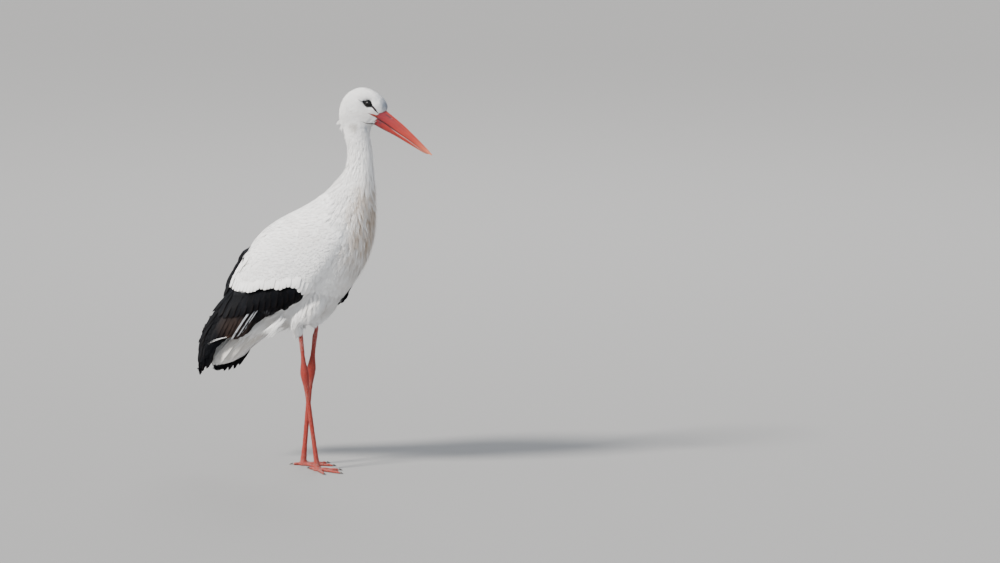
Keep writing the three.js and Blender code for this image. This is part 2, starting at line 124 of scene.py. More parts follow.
def sums(nodes, links, operation, a, b=None):
    """The output of one Math node on two values, each a socket or a number."""
    made = nodes.new("ShaderNodeMath")
    made.operation = operation
    for socket, value in zip(made.inputs, (a, b)):
        if value is None:
            continue
        if isinstance(value, (int, float)):
            socket.default_value = value
        else:
            links.new(value, socket)
    return made.outputs[0]


# %% What most finishes share
def flecked_tint(nodes, links, shader, scale, detail, low, high):
    """Colours a shader by the Tint at each point, made lighter and darker by fine flecks."""
    tint = node(nodes, "ShaderNodeAttribute", attribute_name="Tint")
    flecks = node(nodes, "ShaderNodeTexNoise", Scale=scale, Detail=detail)
    spread = node(nodes, "ShaderNodeMapRange")
    spread.inputs["To Min"].default_value = low
    spread.inputs["To Max"].default_value = high
    links.new(flecks.outputs["Fac"], spread.inputs["Value"])
    toned = node(nodes, "ShaderNodeVectorMath", operation="SCALE")
    links.new(tint.outputs["Color"], toned.inputs[0])
    links.new(spread.outputs[0], toned.inputs["Scale"])
    links.new(toned.outputs[0], shader.inputs["Base Color"])
    return flecks.outputs["Fac"]


def raised(nodes, links, shader, height, strength, distance):
    """Gives a shader fine relief from a height."""
    relief = node(nodes, "ShaderNodeBump", Strength=strength, Distance=distance)
    links.new(height, relief.inputs["Height"])
    links.new(relief.outputs[0], shader.inputs["Normal"])


# %% Floor and light
def floor_finish():
    """Pale matt paper, with the faintest mottling."""
    material, nodes, links, shader = new_material("studio_paper", 0.9, 0.2)
    mottle = node(nodes, "ShaderNodeTexNoise", Scale=3.0, Detail=3.0)
    ramp = node(nodes, "ShaderNodeValToRGB")
    ramp.color_ramp.elements[0].color = (0.225, 0.22, 0.213, 1)
    ramp.color_ramp.elements[1].color = (0.245, 0.241, 0.234, 1)
    links.new(mottle.outputs["Fac"], ramp.inputs["Fac"])
    links.new(ramp.outputs["Color"], shader.inputs["Base Color"])
    return material


bpy.ops.mesh.primitive_plane_add(size=40, location=(0, 0, 0))
floor = bpy.context.object
floor.name = "studio_floor"
floor.data.materials.append(floor_finish())

LAMPS = {
    "key_lamp": {"kind": "SUN", "place": (-2.6, -3.2, 4.2), "size": math.radians(12), "power": 8.4,
                 "tint": (1.0, 0.97, 0.93)},
    "fill_lamp": {"kind": "AREA", "place": (3.6, -3.0, 1.6), "size": 3.0, "power": 46,
                  "tint": (0.80, 0.88, 1.0)},
    "rim_lamp": {"kind": "AREA", "place": (-1.0, 4.0, 3.2), "size": 2.4, "power": 120,
                 "tint": (0.95, 0.97, 1.0)},
}
for name, lamp in LAMPS.items():
    light = bpy.data.lights.new(name, lamp["kind"])
    if lamp["kind"] == "SUN":
        light.angle = lamp["size"]
    else:
        light.size = lamp["size"]
    light.energy = lamp["power"]
    light.color = lamp["tint"]
    holder = bpy.data.objects.new(name, light)
    holder.location = lamp["place"]
    aim = Vector(lamp["place"]) - Vector((0, 0, 0.5))
    holder.rotation_euler = aim.to_track_quat("Z", "Y").to_euler()
    bpy.context.scene.collection.objects.link(holder)

world = bpy.data.worlds.new("studio")
world.use_nodes = True
world.node_tree.nodes["Background"].inputs["Color"].default_value = (0.80, 0.86, 0.95, 1)
world.node_tree.nodes["Background"].inputs["Strength"].default_value = 1.05
bpy.context.scene.world = world
print("lamps:", ", ".join(LAMPS))

# %% [markdown]
# ## One skin under the plumage
# A real bird's skin is one sheet, and its solids are many blocks. The blocks are swollen by
# half a millimetre so that they run together, remeshed into one even net, smoothed until the
# flat facets are gone, and then drawn inward by the depth of the coat that will lie on them.
# Remeshing was chosen over joining by hand because no seam can be left behind.

# %% Join and remesh the flesh
SWELL = 0.5 * MM
NET = 3.0 * MM
FLESH = sorted(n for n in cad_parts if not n.startswith(("eye", "bill", "claw")))


def swollen(names, swell):
    """One bmesh of several solids, each grown evenly by a little."""
    whole = bmesh.new()
    for name in names:
        one = bmesh.new()
        one.from_mesh(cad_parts[name].data)
        bmesh.ops.remove_doubles(one, verts=one.verts, dist=1e-5)
        bmesh.ops.recalc_face_normals(one, faces=one.faces)
        one.normal_update()
        moves = [v.normal * swell for v in one.verts]
        for vertex, move in zip(one.verts, moves):
            vertex.co += move
        part = bpy.data.meshes.new("part")
        one.to_mesh(part)
        one.free()
        whole.from_mesh(part)
        bpy.data.meshes.remove(part)
    return whole


def modified(source, kind, **settings):
    """The mesh that one modifier makes of a bmesh."""
    mesh = bpy.data.meshes.new("rough")
    source.to_mesh(mesh)
    source.free()
    holder = bpy.data.objects.new("rough", mesh)
    bpy.context.scene.collection.objects.link(holder)
    modifier = holder.modifiers.new("change", kind)
    for key, value in settings.items():
        setattr(modifier, key, value)
    depsgraph = bpy.context.evaluated_depsgraph_get()
    made = bpy.data.meshes.new_from_object(holder.evaluated_get(depsgraph))
    bpy.data.objects.remove(holder)
    return made


def read(items, key, width, kind=np.float32):
    """One property of a mesh's vertices, edges or corners: a row of this width for each."""
    values = np.empty(len(items) * width, kind)
    items.foreach_get(key, values)
    return values.reshape(-1, width)


skin_mesh = modified(swollen(FLESH, SWELL), "REMESH", mode="VOXEL", voxel_size=NET)
skin_mesh.name = "skin"
quads = read(skin_mesh.loops, "vertex_index", 1, np.int32).reshape(-1, 4)
print("skin net:", len(quads), "quads")


# %% Which piece of the bird each point belongs to
def solids_tree(names):
    """A search tree over several solids, and the name that each of its faces belongs to."""
    points, faces, owner = [], [], []
    for name in names:
        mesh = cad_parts[name].data
        start = len(points)
        points += [v.co.copy() for v in mesh.vertices]
        for polygon in mesh.polygons:
            faces.append([start + i for i in polygon.vertices])
            owner.append(name)
    return BVHTree.FromPolygons(points, faces), owner


flesh_tree, flesh_owner = solids_tree(FLESH)


# Farther out from the bird's middle plane than any part of it.
OUTSIDE = 0.4
# A wing that lies this close outside the trunk makes the outer surface there.
WING_CLOSE = 8 * MM


def owners(points):
    """The name of the solid that lies nearest to each point."""
    return np.array([flesh_owner[flesh_tree.find_nearest(Vector(p))[2]] for p in points])


def from_side(tree, x, z, side):
    """Where a level ray from one side of the bird (-1 right, 1 left) first meets a surface."""
    spot, _, face, _ = tree.ray_cast(Vector((x, side * OUTSIDE, z)), Vector((0, -side, 0)))
    return spot, face


rough = read(skin_mesh.vertices, "co", 3).astype(float)
node_of = owners(rough)
# Where a thin part of a wing covers the trunk closely, the outer surface is the wing's.
for i in np.flatnonzero((node_of == "trunk") & (rough[:, 0] < at(-20, 0, 0)[0])):
    x, y, z = rough[i]
    spot, face = from_side(flesh_tree, x, z, math.copysign(1, y))
    if spot is not None and flesh_owner[face].startswith("wing"):
        if abs(spot.y - y) < WING_CLOSE:
            node_of[i] = flesh_owner[face]
print("solids that show:", len(set(node_of)), "of", len(FLESH))


def belongs(names, *starts):
    """True where a name starts with one of the given words."""
    return np.array([name.startswith(starts) for name in names])


# %% Smooth the net
ends = read(skin_mesh.edges, "vertices", 2, np.int32)
valence = np.bincount(ends.ravel(), minlength=len(rough))


def relaxed(values, strength, times):
    """Moves each value towards the mean of its neighbours on the net, again and again."""
    values = values.copy()
    for _ in range(times):
        for k in range(values.shape[1]):
            column = values[:, k]
            around = np.bincount(ends[:, 0], column[ends[:, 1]], len(column))
            around += np.bincount(ends[:, 1], column[ends[:, 0]], len(column))
            values[:, k] = column + strength * (around / valence - column)
    return values


def move_points(points):
    """Puts the skin's points in new places, and gives its smooth normals there."""
    skin_mesh.vertices.foreach_set("co", points.astype(np.float32).ravel())
    skin_mesh.update()
    return read(skin_mesh.vertices, "normal", 3).astype(float)


LEG_WORDS = ("shank", "heel", "tarsus", "foot", "toe")
bare = belongs(node_of, *LEG_WORDS)
on_head = belongs(node_of, "head")
softness = np.where(bare, 0.12, np.where(on_head, 0.35, 0.6))[:, None]
softness = relaxed(softness, 0.5, 6)[:, 0]
smooth = relaxed(rough, softness, 45)
outward = move_points(smooth)
# Smoothing also shrinks. What was lost is put back evenly, so only the facets stay gone.
lost = ((rough - smooth) * outward).sum(1)
smooth = smooth + outward * relaxed(lost[:, None], 0.7, 45)
outward = move_points(smooth)
print("smoothing moved the net by up to", round(np.abs(rough - smooth).max() / MM, 1), "mm")

# %% Draw the skin in by the coat's depth
# In millimetres. The first word that a solid's name starts with holds.
COAT_DEPTH = {
    "head": 3.4,
    "neck_upper": 5.0,
    "neck_lower": 6.5,
    "trunk": 8.0,
    "thigh": 7.0,
    "tail": 4.5,
    "wing_right_coverts": 6.5,
    "wing_left_coverts": 6.5,
    "wing": 5.5,
}
BARE_DEPTH = 1.0
# The skin sinks by no more than this share of the thickness that is there.
THINNEST = 0.36


def coat_depth(name):
    """How deep the plumage is over a piece of the bird, in metres."""
    for key, depth in COAT_DEPTH.items():
        if name.startswith(key):
            return depth * MM
    return BARE_DEPTH * MM


depth_by_name = {name: coat_depth(name) for name in FLESH}
depth = np.array([depth_by_name[name] for name in node_of])
face_front = np.clip((smooth[:, 0] - at(150, 0, 0)[0]) / (45 * MM), 0, 1)
depth = np.where(on_head, depth * (1 - 0.45 * face_front), depth)
rough_tree = BVHTree.FromPolygons([Vector(p) for p in smooth], quads.tolist())
for i, (point, normal) in enumerate(zip(smooth, outward)):
    start = Vector(point) - Vector(normal) * 1e-4
    hit = rough_tree.ray_cast(start, -Vector(normal), 0.05)
    if hit[3] is not None:
        depth[i] = min(depth[i], THINNEST * hit[3])
depth = relaxed(depth[:, None], 0.5, 12)[:, 0]
skin_points = smooth - outward * depth[:, None]
skin_points = relaxed(skin_points, np.where(bare, 0.0, 0.4), 4)
near_leg = np.minimum(relaxed(bare[:, None].astype(float), 0.5, 3)[:, 0] * 1.6, 1)
for i in np.flatnonzero(near_leg > 0.02):
    on_solid = np.array(flesh_tree.find_nearest(Vector(rough[i]))[0])
    skin_points[i] += near_leg[i] * (on_solid - skin_points[i])
print("coat depth", round(depth.min() / MM, 2), "to", round(depth.max() / MM, 2), "mm")

# %% Bare legs below the hem
# The hem of each thigh's plumage, as x and z in the side view. Below it the leg is bare.
HEMS = {
    "right": np.array([(-40, 318), (-24, 324), (-16, 328), (-8, 340), (-4, 352), (0, 366), (45, 374)]),
    "left": np.array([(-39, 350), (-15, 358), (-9, 345), (4, 344), (12, 352), (40, 372)]),
}
LEG_HALF = 5.7 * MM
# The thigh narrows to the leg over this height, in millimetres.
HEM_SOFT = 8


def eased(share):
    """A share from 0 to 1 that starts and ends gently."""
    return share * share * (3 - 2 * share)


def thigh_end(points):
    """The height where the thigh's plumage ends, in millimetres."""
    x = (points[:, 0] - DRAWING_ZERO) / MM
    near, far = (np.interp(x, hem[:, 0], hem[:, 1]) for hem in HEMS.values())
    return np.where(points[:, 1] > 0, far, near)


def leg_axis(side):
    """The line through a shank: a point on it, and how far it moves for each metre up."""
    spots = np.array([v.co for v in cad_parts["shank_" + side].data.vertices])
    low, high = spots[:, 2].min(), spots[:, 2].max()
    foot = spots[spots[:, 2] < low + 8 * MM].mean(0)
    top = spots[spots[:, 2] > high - 8 * MM].mean(0)
    return foot, (top - foot) / (top[2] - foot[2])


for side in HEMS:
    foot, slope = leg_axis(side)
    mine = belongs(node_of, "thigh_" + side)
    for _ in range(8):
        spots = skin_points[mine]
        axis = foot + slope * (spots[:, 2:] - foot[2])
        away = spots - axis
        far = np.linalg.norm(away[:, :2], axis=1)
        below = np.clip((thigh_end(spots) + 5 - spots[:, 2] / MM) / HEM_SOFT, 0, 1)
        below = eased(below)
        reach = far + (np.minimum(far, LEG_HALF) - far) * below
        skin_points[mine] = axis + away * (reach / np.maximum(far, 1e-6))[:, None]
        loose = np.zeros(len(skin_points))
        loose[mine] = 0.5 * below
        skin_points = relaxed(skin_points, loose, 2)
leg_softness = relaxed(np.where(bare, 0.35, 0.0)[:, None], 0.5, 4)[:, 0]
skin_points = relaxed(skin_points, leg_softness, 3)
skin_points[:, 2] = np.maximum(skin_points[:, 2], 0.1 * MM)
skin_normals = move_points(skin_points)
print("bare leg points:", int(bare.sum()), "of", len(skin_points))


# %% [markdown]
# ## Combing: which way the coat lies
# On a living bird every feather points away from the bill, back over the crown, down the
# neck, and then back and down along the body to the tail. A comb is a short list of places
# in the side view and the way the coat lies there. Between them the directions are mixed by
# distance, and each one is then pressed flat on to the skin.

# %% The comb
# Each row: drawing x and z in millimetres, then the direction as x and z.
COMB = np.array([
    [199, 922, -0.55, 0.84],
    [184, 906, -0.95, 0.15],
    [172, 938, -0.90, 0.42],
    [138, 953, -1.00, 0.00],
    [108, 944, -0.82, -0.57],
    [88, 920, -0.45, -0.90],
    [140, 905, -0.95, -0.30],
    [176, 884, -0.92, -0.40],
    [160, 862, -0.80, -0.60],
    [158, 845, -0.20, -0.98],
    [84, 885, -0.30, -0.95],
    [125, 862, -0.50, -0.87],
    [128, 815, -0.05, -1.00],
    [100, 770, -0.12, -0.99],
    [165, 770, 0.02, -1.00],
    [58, 708, -0.70, -0.71],
    [172, 690, -0.02, -1.00],
    [120, 690, -0.30, -0.95],
    [10, 665, -0.90, -0.44],
    [-60, 630, -0.84, -0.54],
    [-130, 575, -0.72, -0.70],
    [-165, 520, -0.55, -0.83],
    [168, 610, -0.05, -1.00],
    [140, 510, -0.45, -0.90],
    [88, 430, -0.72, -0.70],
    [20, 374, -0.96, -0.28],
    [-60, 345, -0.98, -0.18],
    [-120, 330, -0.85, -0.52],
    [-190, 290, -0.70, -0.71],
    [60, 570, -0.52, -0.85],
    [-20, 520, -0.62, -0.78],
    [-110, 480, -0.66, -0.75],
    [-180, 460, -0.60, -0.80],
    [-60, 420, -0.62, -0.78],
    [-170, 360, -0.58, -0.81],
    [-245, 290, -0.40, -0.92],
    [30, 425, -0.40, -0.92],
    [-8, 350, -0.22, -0.98],
])
COMB_PLACES = DRAWING_ZERO * np.array([1, 0]) + COMB[:, :2] * MM
# How far one place's direction holds before the next ones mix in.
COMB_REACH = 12 * MM
print("comb:", len(COMB), "places")


# %% Comb every point
def combed(points):
    """The way the coat lies at each point, before it is pressed on to the skin."""
    flat = points[:, [0, 2]]
    gap = ((flat[:, None, :] - COMB_PLACES[None]) ** 2).sum(2)
    weight = 1 / (gap + COMB_REACH**2) ** 1.6
    mixed = weight @ COMB[:, 2:] / weight.sum(1, keepdims=True)
    return np.column_stack([mixed[:, 0], np.zeros(len(points)), mixed[:, 1]])


def unit(vectors):
    """Each vector at length one."""
    return vectors / np.maximum(np.linalg.norm(vectors, axis=-1, keepdims=True), 1e-9)


def pressed(directions, normals):
    """Directions laid flat in the plane that each normal stands on."""
    return unit(directions - (directions * normals).sum(-1, keepdims=True) * normals)


# %% The skin as a place to plant feathers
skin_tree = BVHTree.FromPolygons([Vector(p) for p in skin_points], quads.tolist())


def nearest_faces(points):
    """The number of the skin's face that lies nearest to each point."""
    return np.array([skin_tree.find_nearest(Vector(p))[2] for p in points])


face_corners = skin_points[quads]
face_middle = face_corners.mean(1)
face_normal = unit(skin_normals[quads].mean(1))
face_depth = depth[quads].mean(1)
face_node = node_of[quads[:, 0]]
diagonals = face_corners[:, 2] - face_corners[:, 0], face_corners[:, 3] - face_corners[:, 1]
face_area = np.linalg.norm(np.cross(*diagonals), axis=1) / 2
print("skin area", round(face_area.sum(), 3), "m2")

# %% Scatter roots and walk spines
# Trial points for each one that finds room.
TRIALS = 3.2


def scattered(mask, gap, seed):
    """Faces and points to plant at: random, but never two closer than the gap."""
    rng = np.random.default_rng(seed)
    faces = np.flatnonzero(mask)
    share = face_area[faces] / gap**2
    count = int(share.sum() * TRIALS)
    picked = rng.choice(faces, size=count, p=share / share.sum())
    u, v = rng.random((2, count, 1))
    a, b, c, d = (face_corners[picked, k] for k in range(4))
    points = (a * (1 - u) + b * u) * (1 - v) + (d * (1 - u) + c * u) * v
    tree = KDTree(count)
    for i, point in enumerate(points):
        tree.insert(point, i)
    tree.balance()
    alive = np.ones(count, bool)
    kept = []
    for i in range(count):
        if alive[i]:
            kept.append(i)
            for _, j, _ in tree.find_range(points[i], gap):
                alive[j] = False
    return picked[kept], points[kept]


def spines(faces, points, directions, length, steps, stiffness):
    """Walks each feather's spine over the skin: its points, normals and coat depths.

    stiffness is how far, in radians, a spine may bend down after the skin at each step.
    Where the skin falls away faster than that, the feather's tip runs on free.
    """
    count = len(points)
    path = np.empty((count, steps + 1, 3))
    normal = np.empty((count, steps + 1, 3))
    room = np.empty((count, steps + 1))
    limit = math.sin(stiffness)
    for i in range(count):
        p = Vector(points[i])
        n = Vector(face_normal[faces[i]])
        d = Vector(directions[i])
        deep = face_depth[faces[i]]
        stride = length[i] / steps
        path[i, 0], normal[i, 0], room[i, 0] = p, n, deep
        for k in range(1, steps + 1):
            ahead = p + d * stride
            found, _, face, _ = skin_tree.find_nearest(ahead)
            fall = (ahead - found).dot(n)
            if fall > limit * stride:
                p = ahead - n * (limit * stride)
            else:
                p = found
                n = Vector(face_normal[face])
                deep = deep * 0.4 + face_depth[face] * 0.6
            went = p - Vector(path[i, k - 1])
            d = (went - n * went.dot(n)).normalized()
            path[i, k], normal[i, k], room[i, k] = p, n, deep
    return path, normal, room


# %% [markdown]
# ## One feather, many ways
# A contour feather is a vane of fine barbs on a shaft. Seen from a metre away it is a soft
# leaf with a frayed end. Here each one is a fan of narrow strips, the fingers: they overlap
# along most of the vane and come apart near the tip. Few fingers and no fray make a smooth
# wing covert, many fine ones make the hair-like plumage of the head.

# %% Build a mesh quickly
def grid_faces(rows, columns, closed):
    """Quads over a grid of points, whose rows may close into rings."""
    across = columns if closed else columns - 1
    a = np.arange(rows - 1)[:, None] * columns + np.arange(across)[None]
    b = np.arange(rows - 1)[:, None] * columns + (np.arange(across)[None] + 1) % columns
    return np.stack([a, b, b + columns, a + columns], 2).reshape(-1, 4)


def caps(count, *starts):
    """Quads that close rings of an even count of points, each given by its first point."""
    return np.array([[s + k, s + k + 1, s + count - 2 - k, s + count - 1 - k]
                     for s in starts for k in range(count // 2 - 1)])


def repeated(faces, count, size):
    """The same faces on each of several blocks of points."""
    return (faces[None] + (np.arange(count) * size)[:, None, None]).reshape(-1, 4)


def dressed(name, mesh, finish, tint):
    """A smooth object of a mesh, with a finish and a colour at every point, its Tint."""
    mesh.polygons.foreach_set("use_smooth", np.ones(len(mesh.polygons), bool))
    layer = mesh.color_attributes.new(name="Tint", type="FLOAT_COLOR", domain="POINT")
    colour = np.column_stack([tint, np.ones(len(tint))])
    layer.data.foreach_set("color", colour.astype(np.float32).ravel())
    mesh.materials.clear()
    mesh.materials.append(finish)
    made = bpy.data.objects.new(name, mesh)
    bpy.context.scene.collection.objects.link(made)
    return made


def mesh_object(name, points, faces, finish, tint, maps):
    """A mesh object from arrays, with a colour at every point and any number of UV maps."""
    mesh = bpy.data.meshes.new(name)
    mesh.vertices.add(len(points))
    mesh.vertices.foreach_set("co", np.asarray(points, np.float32).ravel())
    mesh.loops.add(faces.size)
    mesh.loops.foreach_set("vertex_index", faces.astype(np.int32).ravel())
    mesh.polygons.add(len(faces))
    mesh.polygons.foreach_set("loop_start", np.arange(0, faces.size, faces.shape[1], dtype=np.int32))
    mesh.update(calc_edges=True)
    for key, uv in maps.items():
        layer = mesh.uv_layers.new(name=key)
        layer.data.foreach_set("uv", uv[faces.ravel()].astype(np.float32).ravel())
    return dressed(name, mesh, finish, tint)


# %% Build fans of fingers
# How much of the skin's flat sheet one feather takes, as a share of the sheet's width.
PATCH = 0.003


def sampled(table, place):
    """Values along each feather at a place from 0 at its root to 1 at its tip."""
    steps = table.shape[1] - 1
    spot = np.clip(place, 0, 1) * steps
    low = np.minimum(spot.astype(int), steps - 1)
    part = spot - low
    row = np.arange(len(table))[:, None, None]
    if table.ndim == 3:
        part = part[..., None]
    return table[row, low] * (1 - part) + table[row, low + 1] * part


def outline(place, blunt):
    """A vane's half width along it, as a share of its greatest."""
    root = 0.30 + 0.70 * np.sin(np.clip(place / 0.55, 0, 1) * math.pi / 2)
    tip = np.sqrt(np.clip(1 - np.clip((place - 0.55) / 0.45, 0, 1) ** blunt, 0, 1))
    return root * (0.25 + 0.75 * tip)


def fans(walk, roots_uv, width, shape, rng):
    """Vanes of several fingers over walked spines: points, faces, UV maps, and whose each is."""
    path, normal, room = walk
    fingers, rows = shape["fingers"], shape["rows"]
    count = len(path)
    along = np.gradient(path, axis=1)
    across = unit(np.cross(normal, along))
    column = (np.arange(fingers) + 0.5) / fingers * 2 - 1
    end = 1 - shape["round"] * column**2 * 0.35
    end = end[None] - shape["fray"] * rng.random((count, fingers))
    place = end[:, :, None] * (np.arange(rows + 1) / rows)[None, None]
    middle = sampled(path, place)
    up = sampled(normal, place)
    side = sampled(across, place)
    deep = sampled(room, place)
    half = width[:, None, None] * outline(place, shape["blunt"])
    off = column[None, :, None] * half * (1 - 0.8 / fingers)
    off = off + width[:, None, None] * shape["fray"] * 0.5 * place**2 * (
        rng.random((count, fingers, 1)) - 0.5
    )
    rise = place ** shape["bend"] * (1 - shape["sink"]) + 0.02
    jitter = (rng.random((count, fingers, 1)) - 0.5) * shape["ruffle"] * place
    lift = deep * np.minimum(rise + jitter, 1.15) + shape["stand"] * MM * place**3
    cup = shape["cup"] * (off / np.maximum(width[:, None, None], 1e-6)) ** 2
    centre = middle + side * off[..., None] + up * (lift - cup * width[:, None, None])[..., None]
    taper = np.clip((1 - np.arange(rows + 1) / rows) / shape["point"], 0, 1)
    reach = half * 1.25 / fingers * (0.12 + 0.88 * taper)[None, None]
    left = centre - side * reach[..., None]
    right = centre + side * reach[..., None]
    points = np.stack([left, right], axis=3)
    tilt = (column[None, :, None] * shape["cup"] * 0.6)[..., None, None]
    points[..., 0, :] += up * reach[..., None] * tilt[..., 0]
    points[..., 1, :] -= up * reach[..., None] * tilt[..., 0]
    block = points.reshape(-1, 3)
    faces = repeated(grid_faces(rows + 1, 2, False), count * fingers, (rows + 1) * 2)
    share = np.stack([off - reach, off + reach], axis=3) / np.maximum(width[:, None, None, None], 1e-6)
    local = np.stack([share * 0.5 + 0.5, np.repeat(place[..., None], 2, 3)], axis=4)
    patch = roots_uv[:, None, None, None] + (np.clip(local, 0, 1) - 0.5) * PATCH
    size = np.linalg.norm(np.diff(path, axis=1), axis=2).sum(1)[:, None, None, None]
    barbs = np.stack([share * width[:, None, None, None], local[..., 1] * size], axis=4) / MM
    grid = place.shape + (2,)
    who = np.broadcast_to(np.arange(count)[:, None, None, None], grid).ravel()
    return block, faces, {"OFBake": patch.reshape(-1, 2), "Vane": barbs.reshape(-1, 2)}, who


# %% Unwrap the skin
# The sheet is drawn in a little, to leave a strip for the lids and folds of the face.
SHEET_SHARE = 0.93


def unwrapped(mesh):
    """Lays the skin out flat by its own shape, and gives each face's middle on that sheet."""
    holder = bpy.data.objects.new("skin_sheet", mesh)
    bpy.context.scene.collection.objects.link(holder)
    bpy.context.view_layer.objects.active = holder
    holder.select_set(True)
    mesh.uv_layers.new(name="OFBake")
    bpy.ops.object.mode_set(mode="EDIT")
    bpy.ops.mesh.select_all(action="SELECT")
    bpy.ops.uv.smart_project(angle_limit=math.radians(70), island_margin=0.002)
    bpy.ops.object.mode_set(mode="OBJECT")
    uv = read(mesh.uv_layers["OFBake"].data, "uv", 2) * SHEET_SHARE
    mesh.uv_layers["OFBake"].data.foreach_set("uv", uv.ravel())
    bpy.data.objects.remove(holder)
    return uv.reshape(-1, 4, 2).astype(float).mean(1)


face_uv = unwrapped(skin_mesh)
print("unwrapped; spread", face_uv.min(0).round(3), face_uv.max(0).round(3))


# %% [markdown]
# ## Colour of the plumage
# The bird is white with black flight feathers, and nothing on it is quite either. White
# feathers carry a warm cast, the foreneck and breast are stained buff by mud, the short
# feathers at the bill's root are a little greyer, and old black feathers fade to brown.
# Painted shade darkens the throat and the forehead's front, and greys the tail. Each feather
# takes its own tint from where it grows, and the skin below takes the same tint.

# %% Tints by place
WHITE = np.array([0.88, 0.865, 0.84])
BUFF = np.array([0.40, 0.275, 0.16])
# The next colour is painted shade, bluish, on the throat.
THROAT_SHADE_BLUE = np.array([0.34, 0.37, 0.42])
SMOKE = np.array([0.30, 0.27, 0.235])
# The next two colours are painted shade: on the forehead's front and at the bill's root.
SLATE_SHADE = np.array([0.27, 0.30, 0.35])
BILL_ROOT_SHADE = np.array([0.045, 0.045, 0.052])
BLACK = np.array([0.0020, 0.0022, 0.0032])
WORN = np.array([0.033, 0.022, 0.018])
RED = np.array([0.25, 0.024, 0.015])
WRAP = np.array([127.1, 311.7, 74.7])


def hashed(points, cell, salt=0.0):
    """Soft noise between 0 and 1, made by mixing fixed random values at the cell corners."""
    spot = points / cell
    low = np.floor(spot)
    part = eased(spot - low)
    total = np.zeros(len(points))
    for i in (0, 1):
        for j in (0, 1):
            for k in (0, 1):
                corner = low + np.array([i, j, k])
                value = np.modf(np.abs(np.sin((corner * WRAP).sum(1) + salt)) * 43758.5453)[0]
                wx = part[:, 0] if i else 1 - part[:, 0]
                wy = part[:, 1] if j else 1 - part[:, 1]
                wz = part[:, 2] if k else 1 - part[:, 2]
                total += value * wx * wy * wz
    return total


def spot_mask(points, x, z, wide, tall):
    """1 at a place in the side view, falling softly to 0 at the given half sizes."""
    dx = (points[:, 0] - DRAWING_ZERO - x * MM) / (wide * MM)
    dz = (points[:, 2] - z * MM) / (tall * MM)
    return np.clip(1.25 - np.sqrt(dx**2 + dz**2), 0, 1) ** 0.8


def mixed(colour, other, share):
    """Colours moved part of the way to another one."""
    return colour + (other - colour) * np.clip(share, 0, 1)[:, None]


# %% Stained and shaded places
# Stains, and painted shade on the throat and the forehead's front, where the short feathers are
# also a little greyer: drawing x and z, half width and height, colour and strength.
STAINS_AND_SHADE = [
    (160, 645, 36, 95, BUFF, 0.85),
    (150, 560, 36, 60, BUFF, 0.55),
    (128, 470, 50, 50, BUFF, 0.22),
    (60, 405, 60, 26, BUFF, 0.16),
    (20, 610, 70, 40, BUFF, 0.10),
    (126, 861, 15, 12, SMOKE, 0.85),
    # The next three rows are painted shade: on the throat and on the forehead's front.
    (150, 857, 12, 9, THROAT_SHADE_BLUE, 0.8),
    (202, 915, 12, 16, SLATE_SHADE, 0.9),
    (190, 932, 10, 10, SLATE_SHADE, 0.4),
    (165, 890, 26, 14, BUFF, 0.13),
]
# The same for even marks, which no streaks break up: painted shade on the forehead's front
# and at the bill's root.
EVEN_FOREHEAD_SHADE = [
    (203, 912, 8, 12, SLATE_SHADE, 0.55),
    (207, 904, 4.5, 5, BILL_ROOT_SHADE, 0.9),
    (196, 922, 6, 7, SLATE_SHADE, 0.35),
]


def white_tint(points):
    """The tint of white plumage at each point, with its stains and painted shade."""
    tone = 0.955 + 0.06 * hashed(points, 21 * MM) + 0.02 * hashed(points, 4 * MM, 3.0)
    colour = WHITE * tone[:, None]
    streaks = hashed(points * np.array([1, 1, 0.16]), 3.2 * MM, 9.0)
    patches = hashed(points, 14 * MM, 5.0)
    for x, z, wide, tall, mark_colour, strength in EVEN_FOREHEAD_SHADE:
        colour = mixed(colour, mark_colour, spot_mask(points, x, z, wide, tall) * strength)
    for x, z, wide, tall, mark_colour, strength in STAINS_AND_SHADE:
        share = spot_mask(points, x, z, wide, tall) * strength
        share = share * np.clip(1.9 * streaks * (0.45 + patches) - 0.25, 0, 1)
        colour = mixed(colour, mark_colour, share)
    return colour


def black_tint(points):
    """The tint of black plumage at each point."""
    tone = 0.75 + 0.6 * hashed(points, 11 * MM, 2.0)
    return BLACK * tone[:, None]


# %% Where white ends and black begins
# Where the white of a folded wing ends, below and behind, as x and z in the side view.
BORDER = np.array([(-230, 470), (-203, 455), (-176, 438), (-120, 443), (-60, 457), (2, 467), (60, 467)])
REAR_EDGE = np.array([(-201, 441), (-201.3, 453), (-194.6, 465), (-184.8, 480), (-167, 497),
                      (-154.4, 509), (-136, 530)])
# The left wing is drawn as the right one, moved by this much in the side view.
LEFT_SHIFT = (26, -20)


def drawing_xz(points):
    """Drawing x and z of some points, in millimetres."""
    return (points[:, 0] - DRAWING_ZERO) / MM, points[:, 2] / MM


def in_white(points, left):
    """How far points lie above the white's lower edge, and ahead of its rear edge, in mm."""
    x, z = drawing_xz(points)
    x, z = x - LEFT_SHIFT[0] * left, z - LEFT_SHIFT[1] * left
    above = z - np.interp(x, BORDER[:, 0], BORDER[:, 1])
    ahead = np.where(z < REAR_EDGE[-1, 1], x - np.interp(z, REAR_EDGE[:, 1], REAR_EDGE[:, 0]), 99)
    return above, ahead


DARK_WORDS = ("wing_right_sec", "wing_right_pri", "wing_left_sec", "wing_left_pri")


def coat_tint(points, names):
    """The tint of the plumage, or of the bare leg, over each piece of the bird."""
    colour = white_tint(points)
    above, ahead = in_white(points, belongs(names, "wing_left"))
    edge = np.minimum(above + 2, ahead) < 0
    dark = belongs(names, *DARK_WORDS) | belongs(names, "wing") & edge
    colour[dark] = black_tint(points[dark])
    thighs = belongs(names, "thigh")
    below = thighs & (points[:, 2] / MM < thigh_end(points))
    colour[belongs(names, *LEG_WORDS) | below] = RED
    return colour


# %% Plumage finish
# Barbs lie this far apart along the shaft, in millimetres.
BARB_STEP = 0.55


